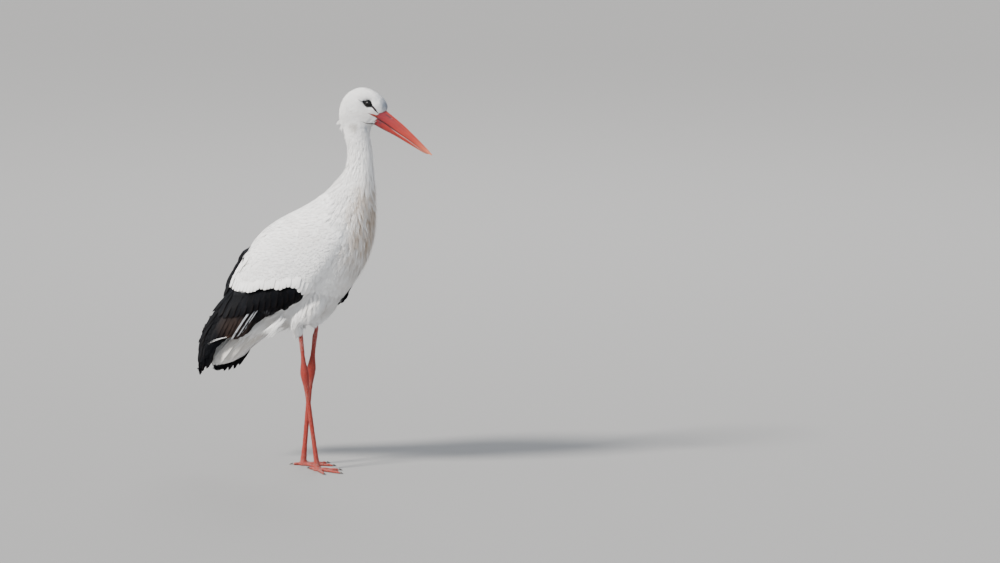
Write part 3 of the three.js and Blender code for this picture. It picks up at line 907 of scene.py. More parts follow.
def plumage_finish(name, roughness, specular, sheen, bump):
    """Soft matt vanes: the tint of the place, and fine barbs that slant off the shaft."""
    material, nodes, links, shader = new_material(name, roughness, specular)
    flecked_tint(nodes, links, shader, 420.0, 2.0, 0.90, 1.06)
    vane = node(nodes, "ShaderNodeUVMap", uv_map="Vane")
    parts = node(nodes, "ShaderNodeSeparateXYZ")
    links.new(vane.outputs[0], parts.inputs[0])
    across = sums(nodes, links, "ABSOLUTE", parts.outputs[0])
    slant = sums(nodes, links, "SUBTRACT", parts.outputs[1], across)
    wave = sums(nodes, links, "SINE", sums(nodes, links, "MULTIPLY", slant, 2 * math.pi / BARB_STEP))
    raised(nodes, links, shader, wave, bump, 0.0002)
    shader.inputs["Sheen Weight"].default_value = sheen
    return material


white_down = plumage_finish("white_plumage", 0.85, 0.18, 0.25, 0.35)
black_vane = plumage_finish("black_plumage", 0.50, 0.06, 0.0, 0.5)
print("plumage:", white_down.name, "and", black_vane.name)


# %% [markdown]
# ## The coat, region by region
# Feather length, width and closeness change over a bird: tiny on the face, hair-like on the
# upper neck, long and pointed on the foreneck, broad on the back and long and loose on the
# thighs. Each region is planted by the same three steps, so a region is only a row of sizes.

# %% Coat regions
# One row for each region, with its sizes in the order of these words; lengths in millimetres.
# gap: closest distance of two roots. long, half: a feather's length and half its width.
# fingers, rows: strips across a vane, and quads along each. fray, round, blunt: how far the
# strips' ends differ, how round their line is, and how full the vane's end. bend, sink,
# ruffle, stand: how late a feather lifts off the skin, what it lacks of the full depth, how
# uneven it is, and how far its tip stands off. cup: how much its edges dip. point: the share
# of a strip that tapers. stiffness: how far, in radians, it may bend at each step. wander:
# how far it leaves the comb's way. over: how high over the skin it may run on free.
COAT_WORDS = ("gap", "long", "half", "fingers", "rows", "fray", "round", "blunt", "bend", "sink",
              "ruffle", "stand", "cup", "point", "stiffness", "wander", "over")
COAT_ROWS = {
    "coat_face": (1.45, 6.5, 1.15, 3, 3, 0.3, 0.5, 2, 0.9, 0.05, 0.5, 0, 0.1, 0.5, 0.5, 0.18, 4),
    "coat_head": (2, 11, 1.8, 4, 3, 0.34, 0.5, 2, 0.9, 0, 0.45, 0.5, 0.1, 0.55, 0.4, 0.14, 4),
    "coat_neck_upper": (2.7, 19, 2.6, 5, 4, 0.36, 0.5, 1.8, 0.9, 0, 0.32, 1.4, 0.1, 0.6, 0.25, 0.11, 4),
    "coat_neck_lower": (3.5, 28, 3.8, 6, 4, 0.36, 0.5, 1.8, 0.9, 0.05, 0.32, 0, 0.12, 0.6, 0.2, 0.12, 4),
    "coat_breast": (4.6, 38, 5.4, 7, 5, 0.34, 0.6, 1.8, 0.95, 0.08, 0.34, 0, 0.12, 0.6, 0.14, 0.14, 4),
    "coat_hackles": (7, 46, 3.2, 6, 6, 0.34, 0.3, 1.2, 0.55, 0, 0.2, 6.5, 0.14, 0.8, 0.1, 0.13, 30),
    "coat_back": (5, 36, 7.5, 7, 5, 0.16, 0.9, 2.4, 0.5, 0.06, 0.08, 0, 0.08, 0.35, 0.14, 0.09, 4),
    "coat_belly": (4.9, 36, 5.6, 6, 5, 0.36, 0.6, 1.8, 0.95, 0.08, 0.34, 0, 0.12, 0.6, 0.12, 0.14, 4),
    "coat_thighs": (4.2, 46, 4.4, 7, 6, 0.4, 0.5, 1.5, 0.6, 0.06, 0.14, 0.3, 0.1, 0.75, 0.06, 0.06, 4),
    "coat_wings": (5, 28, 8, 7, 4, 0.1, 1, 2.6, 0.45, 0, 0.03, 0.3, 0.06, 0.25, 0.12, 0.06, 2),
    "coat_tail": (4.8, 38, 6, 6, 6, 0.3, 0.7, 1.8, 0.95, 0.1, 0.28, 0, 0.12, 0.6, 0.1, 0.12, 1.5),
    "coat_dark": (6.5, 34, 7.5, 6, 5, 0.12, 0.9, 2.4, 1, 0.35, 0.1, 0, 0.1, 0.4, 0.1, 0.07, 1.5),
}
COATS = {name: dict(zip(COAT_WORDS, row)) for name, row in COAT_ROWS.items()}
print("regions of the coat:", len(COATS))

# %% Where each region lies
# All in millimetres of the drawing. The face reaches back to FACE_BACK below the crown, and
# above it only to BROW_BACK. Hackles grow ahead of a line, given as heights and how far
# forward. The breast ends at a slanting line and above a height.
FACE_BACK, CROWN, BROW_BACK = 140, 940, 172
HACKLE_LINE = ([480, 560, 640, 700, 770, 850], [92, 114, 138, 148, 148, 144])
BREAST_LOW, BREAST_BACK, BREAST_LEAN = 500, 66, 0.20
# Short white feathers keep this far from the long ones along the white's edges.
ABOVE_EDGE, AHEAD_OF_EDGE = 34, 4
x_of, z_of = drawing_xz(face_middle)
is_head = belongs(face_node, "head")
is_face = is_head & (x_of > FACE_BACK) & (z_of < CROWN) | is_head & (x_of > BROW_BACK)
is_trunk = belongs(face_node, "trunk")
breast_line = BREAST_BACK + BREAST_LEAN * (z_of - 560)
hackle_line = np.interp(z_of, *HACKLE_LINE)
over_black, before_black = in_white(face_middle, belongs(face_node, "wing_left"))
on_white = (over_black > ABOVE_EDGE) & (before_black > AHEAD_OF_EDGE)
is_breast = is_trunk & (x_of > breast_line) & (z_of > BREAST_LOW)
is_under = is_trunk & ~is_breast & (z_of < 470 - 0.34 * (x_of - 60))
REGIONS = {
    "coat_face": is_face,
    "coat_head": is_head & ~is_face,
    "coat_neck_upper": belongs(face_node, "neck_upper"),
    "coat_neck_lower": belongs(face_node, "neck_lower"),
    "coat_breast": is_breast,
    "coat_hackles": (is_breast | belongs(face_node, "neck_lower", "neck_upper")) & (x_of > hackle_line),
    "coat_back": is_trunk & ~is_breast & ~is_under,
    "coat_belly": is_under,
    "coat_thighs": belongs(face_node, "thigh"),
    "coat_wings": belongs(face_node, "wing_right_cov", "wing_left_cov") & on_white,
    "coat_tail": belongs(face_node, "tail"),
    "coat_dark": belongs(face_node, *DARK_WORDS),
}
print("faces in each region:", {name[5:]: int(mask.sum()) for name, mask in REGIONS.items()})

# %% Bare places on the face
# In millimetres of the drawing: the eye, the almond of bare skin round it, and two bare lines,
# each given by its ends and its half width.
EYE_X, EYE_Z = 162.0, 918.0
ALMOND_TILT = math.radians(-24)
ALMOND_LONG, ALMOND_HIGH = 15.6, 7.3
ALMOND_AHEAD = -0.3
LORE_LINE = ((174, 911.5), (187, 896), 1.9)
GAPE_LINE = ((163, 894), (186, 890), 1.2)


def almond(points, grow=0.0):
    """Below 1 inside the almond of bare skin round each eye."""
    x, z = drawing_xz(points)
    x = x - EYE_X - ALMOND_AHEAD
    z = z - EYE_Z + 1.0
    along = x * math.cos(ALMOND_TILT) + z * math.sin(ALMOND_TILT)
    up = -x * math.sin(ALMOND_TILT) + z * math.cos(ALMOND_TILT)
    return np.abs(up) / (ALMOND_HIGH + grow) + (along / (ALMOND_LONG + grow)) ** 2


def off_line(points, line):
    """Distance in the side view from a line's two ends and all between, less its half width."""
    x, z = drawing_xz(points)
    (x0, z0), (x1, z1), half = line
    t = ((x - x0) * (x1 - x0) + (z - z0) * (z1 - z0)) / ((x1 - x0) ** 2 + (z1 - z0) ** 2)
    t = np.clip(t, 0, 1)
    return np.hypot(x - x0 - t * (x1 - x0), z - z0 - t * (z1 - z0)) - half


# Where the face's feathers end and the bill begins, as heights and how far forward.
FACE_EDGE = np.array([(862, 176), (868, 177.5), (875, 182.5), (882, 186), (893, 187.5),
                      (896, 191), (898.5, 198), (900.5, 204), (903, 212)])


def past_face(points, grow=0.0):
    """True beyond the edge of the face's feathers, on the bill's side."""
    x, z = drawing_xz(points)
    return (x > np.interp(z, FACE_EDGE[:, 0], FACE_EDGE[:, 1]) - grow) & (z > 858) & (z < 902.5)


def in_bare_face(points, grow=0.0):
    """True on the bare skin of the face: round the eye, along the lore and at the gape."""
    lines = np.minimum(off_line(points, LORE_LINE), off_line(points, GAPE_LINE))
    return (almond(points, grow) < 1) | (lines < grow) | past_face(points, grow)


def room_ahead(points, lie, length):
    """Shortens feathers that would lie over bare skin; 0 where they would start on it."""
    length = length.copy()
    full = length.copy()
    for step in np.linspace(0, 1, 9)[::-1]:
        spot = points + lie * (full * step)[:, None]
        length = np.where(in_bare_face(spot), np.minimum(length, full * step - 0.5 * MM), length)
    return np.maximum(length, 0)


on_bare_face = is_head & in_bare_face(face_middle)
print("bare face:", int(on_bare_face.sum()), "faces of the skin")


# %% Where no feather may lie
# Where another part of the bird lies this close over the skin, nothing is planted. In the
# shaded regions the longer distance holds, and behind a folded wing the last one.
HIDDEN = 12 * MM
HIDDEN_FAR = 38 * MM
WING_GAP = 32 * MM
SHORTEST = 1.6 * MM
SHADED = ("coat_back", "coat_belly", "coat_tail", "coat_dark", "coat_wings")


def behind_wing(points):
    """True where a folded wing lies close outside, as seen from that side."""
    out = []
    for x, y, z in points:
        spot, face = from_side(flesh_tree, x, z, math.copysign(1, y))
        wing = spot is not None and flesh_owner[face].startswith("wing")
        out.append(wing and abs(spot.y - y) < WING_GAP)
    return np.array(out)


def thigh_room(points, length, rng):
    """Keeps thigh feathers from hanging past the hem, where the bare leg begins."""
    most = points[:, 2] - (thigh_end(points) + rng.uniform(-5, 3, len(points))) * MM
    return np.where(most < 5 * MM, 0, np.minimum(length, most))


def only(kept, *arrays):
    """The kept rows of each array."""
    return tuple(array[kept] for array in arrays)


# %% Plant the coat
# Thigh feathers hang, leaning a little back.
HANGING = (-0.38, 0.0, -0.92)


def plant(name, mask, style, seed, finish):
    """Plants one region of the coat as a single mesh."""
    faces, points = scattered(mask, style["gap"] * MM, seed)
    rng = np.random.default_rng(seed + 1)
    lie = np.tile(HANGING, (len(points), 1)) if name == "coat_thighs" else combed(points)
    normals = face_normal[faces]
    lie = pressed(lie, normals)
    side = np.cross(normals, lie)
    angle = rng.normal(0, style["wander"], len(points))[:, None]
    lie = lie * np.cos(angle) + side * np.sin(angle)
    length = style["long"] * MM * rng.uniform(0.82, 1.15, len(points))
    reach = HIDDEN_FAR if name in SHADED else HIDDEN
    open_air = np.array([
        skin_tree.ray_cast(Vector(q + n * MM), Vector(n), reach)[0] is None
        for q, n in zip(points, normals)
    ])
    if name in ("coat_back", "coat_belly"):
        open_air &= ~behind_wing(points)
    faces, points, lie, length = only(open_air, faces, points, lie, length)
    if name in ("coat_face", "coat_head"):
        length = room_ahead(points, lie, length)
        faces, points, lie, length = only(length > SHORTEST, faces, points, lie, length)
    if name == "coat_thighs":
        length = thigh_room(points, length, rng)
        faces, points, lie, length = only(length > 0, faces, points, lie, length)
    width = style["half"] * MM * rng.uniform(0.85, 1.15, len(points))
    walk = spines(faces, points, lie, length, style["rows"], style["stiffness"])
    free = np.array([[skin_tree.find_nearest(Vector(q))[3] for q in row] for row in walk[0]])
    over = free > style["over"] * MM
    kept = np.where(over.any(1), over.argmax(1) / style["rows"], 1.0)
    if (kept < 1).any():
        length = length * np.maximum(kept, 0.3)
        walk = spines(faces, points, lie, length, style["rows"], style["stiffness"])
    block, sheet, maps, who = fans(walk, face_uv[faces], width, style, rng)
    colour = coat_tint(points, face_node[faces]) * rng.uniform(0.93, 1.03, (len(points), 1))
    print(name, len(points), "feathers", 2 * len(sheet), "triangles")
    return mesh_object(name, block, sheet, finish, colour[who], maps)


coats = {}
for number, (name, style) in enumerate(COATS.items()):
    mask = REGIONS[name] & ~on_bare_face
    finish = black_vane if name == "coat_dark" else white_down
    coats[name] = plant(name, mask, style, 100 + number * 10, finish)


# %% [markdown]
# ## Flight feathers
# A folded wing is a stack of long stiff vanes, each lying a little over the next, like a
# closed fan. The row of tips is what the eye reads, so each group is given as a line of tips
# drawn from the side, with the lean, length and width of its first and last feather. A
# feather is a closed thin vane: an off-centre shaft, two webs that dip away from it, and a
# few notches where barbs have parted. It is laid on the outer surface of the solid wing.

# %% The outer surface of each folded wing and the tail
# The cells of the side view, and the share of its slope that a surface keeps past its edge.
CELL = 3.0 * MM
SLOPE_KEPT = 0.8
FIELD_X = np.arange(-0.345, 0.135, CELL)
FIELD_Z = np.arange(0.170, 0.690, CELL)


def wing_field(side):
    """How far out a wing or the tail lies at each cell of the side view, and past its edges."""
    sign = -1 if side == "right" else 1
    names = [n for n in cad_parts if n.startswith("wing_" + side)]
    tree, _ = solids_tree(names + ["trunk"] if side != "tail" else ["tail"])
    out = np.full((len(FIELD_X), len(FIELD_Z)), np.nan)
    for i, x in enumerate(FIELD_X):
        for j, z in enumerate(FIELD_Z):
            spot, _ = from_side(tree, x, z, sign)
            if spot is not None:
                out[i, j] = abs(spot.y)
    known = ~np.isnan(out)
    for _ in range(2):
        inner = known.copy()
        for axis, step in ((0, 1), (0, -1), (1, 1), (1, -1)):
            inner &= np.roll(known, step, axis)
        known = inner
    value = np.where(known, np.nan_to_num(out), 0.0)
    ways = [(1, 0), (-1, 0), (0, 1), (0, -1), (1, 1), (1, -1), (-1, 1), (-1, -1)]
    filled = known.copy()
    for _ in range(22):
        total = np.zeros_like(value)
        weight = np.zeros_like(value)
        for way in ways:
            near, near_there = np.roll(value, way, (0, 1)), np.roll(filled, way, (0, 1))
            twice = (2 * way[0], 2 * way[1])
            far, far_there = np.roll(value, twice, (0, 1)), np.roll(filled, twice, (0, 1))
            sure = near_there & far_there
            total += np.where(sure, near + SLOPE_KEPT * (near - far), 0)
            weight += sure
        fresh = ~filled & (weight > 0)
        value = np.where(fresh, total / np.maximum(weight, 1), value)
        filled |= fresh
    for _ in range(10):
        around = sum(np.roll(value, s, a) for a, s in ((0, 1), (0, -1), (1, 1), (1, -1)))
        value = value * 0.4 + around * 0.15
    return value


def field_at(field, x, z):
    """The field between its cells."""
    u = np.clip((x - FIELD_X[0]) / CELL, 0, len(FIELD_X) - 1.001)
    v = np.clip((z - FIELD_Z[0]) / CELL, 0, len(FIELD_Z) - 1.001)
    i, j = u.astype(int), v.astype(int)
    u, v = u - i, v - j
    low = field[i, j] * (1 - u) + field[i + 1, j] * u
    high = field[i, j + 1] * (1 - u) + field[i + 1, j + 1] * u
    return low * (1 - v) + high * v


def facing(field, x, z, sign):
    """The way that a wing's outer surface faces at each place of the side view."""
    slope_x = (field_at(field, x + CELL, z) - field_at(field, x - CELL, z)) / (2 * CELL)
    slope_z = (field_at(field, x, z + CELL) - field_at(field, x, z - CELL)) / (2 * CELL)
    return unit(np.stack([-slope_x, np.full_like(x, sign), -slope_z], 2))


FIELDS = {side: wing_field(side) for side in ("right", "left", "tail")}
print("fields:", ", ".join(FIELDS), "of", len(FIELD_X), "by", len(FIELD_Z), "cells")


# %% Shape of one long feather
# Rows of points along a feather, and its columns across. Thickness is in millimetres.
QUILL_ROWS = 22
QUILL_COLUMNS = np.array([-1.0, -0.82, -0.55, -0.25, -0.06, 0.06, 0.25, 0.55, 0.82, 1.0])
VANE_THICK = 0.35


def quill_width(place, blunt, waist):
    """Half width of a long feather along it, as a share of its greatest."""
    root = waist + (1 - waist) * np.sin(np.clip(place / 0.30, 0, 1) * math.pi / 2)
    tip = np.clip(1 - np.clip((place - 0.80) / 0.20, 0, 1) ** blunt, 0, 1) ** 0.5
    return root * tip


def quills(spine, out, width, lead, roll, shape, rng):
    """Closed vanes over straight or bent spines: points, quads, UV maps, who, across, along.

    spine and out have a row of points for each feather. width is the half width, lead the
    share of it on the lower side of the shaft, and roll lifts one web over its neighbour.
    """
    count, rows = spine.shape[:2]
    along = unit(np.gradient(spine, axis=1))
    across = unit(np.cross(out, along))
    place = np.broadcast_to((np.arange(rows) / (rows - 1))[None], (count, rows))
    half = width[:, None] * quill_width(place, shape["blunt"], shape["waist"])
    notch = rng.random((count, rows, 2))
    notch = 1 - shape["notch"] * np.where(notch > 0.80, notch, 0.08 * notch)
    columns = QUILL_COLUMNS[None, None]
    reach = np.where(columns < 0, lead[:, None, None] * 2, (1 - lead[:, None, None]) * 2)
    edge = np.where(columns < 0, notch[..., :1], notch[..., 1:])
    edge = 1 + (edge - 1) * np.abs(columns) ** 3
    off = columns * reach * half[..., None] * edge
    size = np.maximum(width[:, None, None], 1e-6)
    ridge = 0.45 * MM * np.exp(-((columns / 0.10) ** 2)) * (1.1 - place[..., None])
    height = ridge - shape["cup"] * size * (off / size) ** 2 + roll[:, None, None] * off
    top = spine[:, :, None] + across[:, :, None] * off[..., None] + out[:, :, None] * height[..., None]
    thick = VANE_THICK * MM * (0.35 + 0.65 * (1 - columns**2)) + ridge * 0.8
    low = top - out[:, :, None] * thick[..., None]
    ring = np.concatenate([top, low[:, :, ::-1]], axis=2)
    sides = ring.shape[2]
    one = np.concatenate([grid_faces(rows, sides, True), caps(sides, 0, (rows - 1) * sides)])
    faces = repeated(one, count, rows * sides)
    both = np.concatenate([columns, columns[..., ::-1]], axis=2)
    both = np.broadcast_to(both, (count, rows, sides))
    far = np.broadcast_to(place[..., None], (count, rows, sides))
    long = np.linalg.norm(np.diff(spine, axis=1), axis=2).sum(1)
    local = np.stack([both * 0.5 + 0.5, far], axis=3)
    barbs = np.stack([both * width[:, None, None], far * long[:, None, None]], axis=3) / MM
    who = np.broadcast_to(np.arange(count)[:, None, None], (count, rows, sides))
    parts = {"local": local.reshape(-1, 2), "Vane": barbs.reshape(-1, 2)}
    return ring.reshape(-1, 3), faces, parts, who.ravel(), both.ravel(), far.ravel()


# %% The groups of a folded wing, as seen from the right
# tips: line of tips in the side view, in millimetres of the drawing. count: how many feathers.
# lean: degrees below the level. long, wide, tier: length, half width and height over the
# wing, in millimetres. Each of these is a list that is drawn out evenly over the row.
# bow: how far the shaft bows up, in millimetres. tone: its colours. point: how blunt the tip
# is. rise: how soon the feather comes out from under the coat, where it isn't 1.4.
QUILL_GROUPS = {
    "primaries": {
        "tips": [(-257, 236), (-275.5, 218.8), (-280, 250), (-283, 277.8)],
        "count": 4, "lean": (66, 79, 74, 60), "long": (120, 125, 110, 110), "wide": (9, 8.5, 8, 7),
        "tier": (-2.0, -1.0, -0.4, 0.4), "bow": 7, "tone": "black", "point": 0.75,
    },
    "secondaries": {
        "tips": [(6, 441), (-17, 415), (-45, 398), (-50, 401), (-78, 386), (-103, 374), (-133, 348),
                 (-152, 331), (-180, 317), (-190, 324), (-221, 308), (-243, 303)],
        "count": 21, "lean": (72, 64, 57, 53, 55, 58), "long": (70, 165), "wide": (9, 11),
        "tier": (-0.6, 1.2), "bow": 4, "tone": "secondary", "point": 2.0,
    },
    "silvers": {
        "tips": [(-151, 337), (-167, 326), (-183, 317)],
        "count": 3, "lean": (52.5, 52.5), "long": (116, 128), "wide": (2.3, 2.7),
        "tier": (1.7, 2.1), "bow": 1, "tone": "silver", "point": 2.4, "rise": 2.4,
    },
    "tertials": {
        "tips": [(-282.3, 297.7), (-274.6, 326.8), (-250.3, 374.7), (-219.1, 417.1)],
        "count": 4, "lean": (57, 50, 46, 63), "long": (120, 120, 120, 80),
        "wide": (7, 7.5, 8, 7.5), "tier": (1.4, 2.4), "bow": 2, "tone": "black", "point": 0.75,
    },
    "back_strip": {
        "tips": [(-221, 415), (-218.5, 430), (-211, 450), (-200, 468), (-188.5, 485), (-175, 508),
                 (-160, 530)],
        "count": 13, "lean": (68, 62, 56, 54, 52), "long": (56, 44, 32, 18), "wide": (7.5, 6),
        "tier": (0.7, 0.5), "bow": 2, "tone": "black", "point": 1.2, "rise": 1.8,
    },
    "black_coverts": {
        "tips": [(1, 438), (-42, 414), (-92, 400), (-118, 393), (-138, 386), (-165, 378),
                 (-195, 371), (-226, 368)],
        "count": 14, "lean": (78, 74, 66, 60), "long": (60, 84), "wide": (11, 12.5),
        "tier": (0.9, 2.6, 2.6), "bow": 3, "tone": "black", "point": 1.6,
    },
    "edge_coverts": {
        "tips": [(3, 467), (-17, 463), (-35, 460), (-40, 456), (-62, 457.5), (-86, 453), (-98, 453.5),
                 (-110, 447), (-124, 443), (-138, 440), (-150, 441), (-162, 441), (-172, 437),
                 (-184, 437), (-198, 442)],
        "count": 20, "lean": (80, 66), "long": (52, 58), "wide": (7.6, 8.2), "tier": (3.2, 3.6),
        "bow": 2, "tone": "white", "point": 2.6, "rise": 1.05,
    },
    "flank_cover": {
        "tips": [(4, 461), (9, 452), (16, 445), (25, 446)],
        "count": 4, "lean": (72, 62), "long": (62, 66), "wide": (8, 8), "tier": (3.4, 1.4),
        "bow": 3, "tone": "white", "point": 2.0, "rise": 1.2,
    },
    "rear_coverts": {
        "tips": [(-197, 445), (-194, 453), (-187, 464), (-177, 478), (-161, 493), (-146, 506)],
        "count": 11, "lean": (68, 50), "long": (48, 52), "wide": (6.5, 6.5), "tier": (2.6, 2.8),
        "bow": 4, "tone": "white", "point": 2.2, "rise": 1.05,
    },
}

# %% What differs on the left wing
# Its own lines of tips. A lean, a length or a share of the width is given as ranks, from the
# first feather at 0 to the last at 1, and the values there.
LEFT_WING = {
    "primaries": {
        "tips": [(-264, 223), (-256, 219), (-246, 216.5), (-235, 218), (-223, 222), (-210, 232),
                 (-199, 247)],
        "count": 7, "lean": ([0, 1], [66, 63]),
    },
    "secondaries": {
        "tips": [(50, 398), (26, 387), (-8, 378), (-60, 361), (-110, 338), (-150, 314), (-166, 314),
                 (-200, 300), (-221, 288)],
        "lean": ([0, 0.3, 1], [50, 62, 58]), "long": ([0, 0.3, 1], [38, 80, 165]),
        "share": ([0, 0.3], [0.5, 1]),
    },
    "silvers": {"tips": [(-125, 331), (-141, 320), (-157, 311)]},
    "back_strip": {
        "tips": [(-195, 395), (-192.5, 410), (-185, 430), (-174, 448), (-162.5, 465)], "count": 8,
    },
    "flank_cover": {"count": 0},
}
print("groups:", {name: group["count"] for name, group in QUILL_GROUPS.items()})


# %% Lay feathers along a line of tips
def along_line(line, count):
    """Evenly spaced points along a line of points."""
    line = np.array(line, float)
    run = np.concatenate([[0], np.cumsum(np.linalg.norm(np.diff(line, axis=0), axis=1))])
    spot = np.linspace(0, run[-1], count)
    return np.column_stack([np.interp(spot, run, line[:, k]) for k in (0, 1)])


def spread_over(values, rank):
    """A list of values drawn out evenly over a row of feathers."""
    return np.interp(rank, np.linspace(0, 1, len(values)), values)


def hung(tips, lean, long, bow):
    """Where the rows of some feathers lie in the side view, root to tip: x and z in metres."""
    place = np.linspace(0, 1, QUILL_ROWS)[None]
    back = np.stack([-np.cos(lean), -np.sin(lean)], 1)
    aside = np.stack([back[:, 1], -back[:, 0]], 1)
    flat = tips[:, None] - back[:, None] * (long[:, None] * (1 - place))[..., None]
    flat = flat + aside[:, None] * (bow * 4 * place * (1 - place))[..., None]
    return DRAWING_ZERO + flat[..., 0] * MM, flat[..., 1] * MM


def on_sheet(roots, who, local):
    """The patch of the skin's flat sheet that each feather takes, where its root stands."""
    return face_uv[nearest_faces(roots)][who] + (local - 0.5) * PATCH


# %% Colours of the long feathers
SILVER = np.array([0.36, 0.365, 0.38])
RUST = np.array([0.070, 0.032, 0.018])
# Turns points so that their first axis runs along the slanting secondaries.
LEANING = np.array([[0.55, 0, -0.84], [0, 1, 0], [0.84, 0, 0.55]])


def quill_tints(tone, who, across, place, points, rng):
    """Colours over one group of long feathers."""
    count = who.max() + 1
    if tone == "white":
        colour = white_tint(points) * rng.uniform(0.95, 1.03, (count, 1))[who]
        return mixed(colour, BUFF, 0.10 * np.abs(across) ** 4 + 0.05 * (place > 0.9))
    shade = rng.uniform(0.7, 1.35, (count, 1))[who]
    colour = black_tint(points) * shade
    fringe = np.abs(across) ** 5 * np.clip(place * 1.6 - 0.5, 0, 1)
    colour = mixed(colour, WORN, 0.35 * fringe)
    if tone == "secondary":
        worn = spot_mask(points, -172, 354, 50, 44) * np.clip((place - 0.35) / 0.3, 0, 1)
        streaks = hashed(points @ LEANING * np.array([0.15, 1, 1]), 1.5 * MM)
        colour = mixed(colour, WORN * 0.85, worn * (0.35 + 0.9 * streaks))
        rust = spot_mask(points, -188, 321, 11, 6)
        colour = mixed(colour, RUST, 0.7 * rust * (0.4 + streaks))
        faint = spot_mask(points, -78, 394, 16, 7) * (hashed(points, 1.6 * MM, 7.0) > 0.55)
        colour = mixed(colour, SILVER, 0.12 * faint)
    if tone == "silver":
        widest = np.array([-0.15, -0.15, 0.75])[np.minimum(who, 2)]
        streak = np.clip((widest - across) / 0.18, 0, 1) * np.clip((place - 0.15) / 0.2, 0, 1)
        colour = mixed(colour, SILVER, streak * (0.75 + 0.4 * hashed(points, 2 * MM, 2.0)))
    return colour


# %% Fold the wings
# The share of a vane on the lower side of its shaft, how much one web is raised over the
# next feather's, and how deep below the wing's surface a root starts, in millimetres.
LEAD = {"white": 0.42, "black": 0.36}
ROLL = 0.085
ROOT_DEEP = 5.5


def fold_wing(side, seed):
    """All long feathers of one wing as two meshes, white and black."""
    rng = np.random.default_rng(seed)
    sign = -1 if side == "right" else 1
    shift = LEFT_SHIFT if side == "left" else (0, 0)
    heaps = {"white": [], "black": []}
    field = FIELDS[side]
    place = np.linspace(0, 1, QUILL_ROWS)[None]
    for name, group in QUILL_GROUPS.items():
        own = LEFT_WING.get(name, {}) if side == "left" else {}
        count = own.get("count", group["count"])
        if count == 0:
            continue
        line = own.get("tips", [(x + shift[0], z + shift[1]) for x, z in group["tips"]])
        rank = np.linspace(0, 1, count)
        given = len(line) == count
        tips = np.array(line, float) if given else along_line(line, count)
        tips = tips + rng.normal(0, 0.5 if given else 1.0, (count, 2))
        lean = spread_over(group["lean"], rank) + rng.normal(0, 0.8, count)
        lean = np.radians(np.interp(rank, *own["lean"]) if "lean" in own else lean)
        long = spread_over(group["long"], rank) * rng.uniform(0.96, 1.04, count)
        long = np.interp(rank, *own["long"]) if "long" in own else long
        width = spread_over(group["wide"], rank) * MM * rng.uniform(0.94, 1.06, count)
        width = width * np.interp(rank, *own["share"]) if "share" in own else width
        x, z = hung(tips, lean, long, group["bow"])
        deep = eased(np.clip(place * group.get("rise", 1.4), 0, 1))
        over = spread_over(group["tier"], rank)[:, None] * deep - ROOT_DEEP * (1 - deep)
        spine = np.stack([x, sign * (field_at(field, x, z) + over * MM), z], 2)
        out = facing(field, x, z, sign)
        tone = "white" if group["tone"] == "white" else "black"
        lead = np.full(count, LEAD[tone] if sign < 0 else 1 - LEAD[tone])
        roll = np.full(count, ROLL * -sign)
        shape = {"blunt": group["point"], "waist": 0.5, "notch": 0.10, "cup": 0.05}
        points, faces, parts, who, across, far = quills(spine, out, width, lead, roll, shape, rng)
        tint = quill_tints(group["tone"], who, across * sign, far, points, rng)
        bake = on_sheet(spine[:, 0], who, parts["local"])
        heaps[tone].append((points, faces, bake, parts["Vane"], tint))
    made = []
    for tone, heap in heaps.items():
        start = np.cumsum([0] + [len(h[0]) for h in heap])
        points, bake, vane, tint = (np.concatenate([h[k] for h in heap]) for k in (0, 2, 3, 4))
        faces = np.concatenate([h[1] + s for h, s in zip(heap, start)])
        finish = white_down if tone == "white" else black_vane
        maps = {"OFBake": bake, "Vane": vane}
        made.append(mesh_object(f"quills_{side}_{tone}", points, faces, finish, tint, maps))
        print(f"quills_{side}_{tone}", 2 * len(faces), "triangles")
    return made


quill_pieces = fold_wing("right", 7) + fold_wing("left", 8)


# %% [markdown]
# ## Head: eyes, lids and bill
# The eye sits in an almond of black bare skin whose front corner runs on as a thin line to
# the bill. The lids are a low rim round a nearly round opening. The bill is horn over bone:
# a blunt ridge along the top, flat sides, sharp lower edges, and a slit of a nostril in a
# groove. Both are lofted here much more finely than the solids they stand for.

# %% Surfaces from grids of points
def grid_uv(rows, columns):
    """Plain UVs over a grid of points."""
    v, u = np.meshgrid(np.linspace(0, 1, rows), np.linspace(0, 1, columns), indexing="ij")
    return np.stack([u, v], 2).reshape(-1, 2)


def smooth_table(table, count):
    """A table of rows drawn out to more rows along a smooth curve through them."""
    table = np.array(table, float)
    spot = np.linspace(0, len(table) - 1, count)
    low = np.clip(spot.astype(int), 0, len(table) - 2)
    t = (spot - low)[:, None]
    pick = [table[np.clip(low + k, 0, len(table) - 1)] for k in (-1, 0, 1, 2)]
    pick[0] = np.where((low == 0)[:, None], 2 * pick[1] - pick[2], pick[0])
    pick[3] = np.where((low == len(table) - 2)[:, None], 2 * pick[2] - pick[1], pick[3])
    a, b, c, d = pick
    return 0.5 * (2 * b + (c - a) * t + (2 * a - 5 * b + 4 * c - d) * t**2
                  + (3 * b - a - 3 * c + d) * t**3)


def how_far_out(trees, x, z, side, missing):
    """How far out some surfaces lie at places of the drawing, in millimetres."""
    out = np.full(x.shape, float(missing))
    for index in np.ndindex(x.shape):
        place = DRAWING_ZERO + x[index] * MM, z[index] * MM
        spots = [from_side(tree, *place, side)[0] for tree in trees]
        found = [abs(spot.y) / MM for spot in spots if spot is not None]
        out[index] = max(found, default=out[index])
    return out


# %% Lids
# The ball's radius and how far its middle is from the head's, and the half sizes of the
# opening between the lids, all in millimetres.
BALL = 9.0
BALL_OUT = 17.6
OPENING = (6.9, 6.0)
LID_RINGS = 14
LID_AROUND = 72
LID_BLACK = np.array([0.004, 0.004, 0.005])


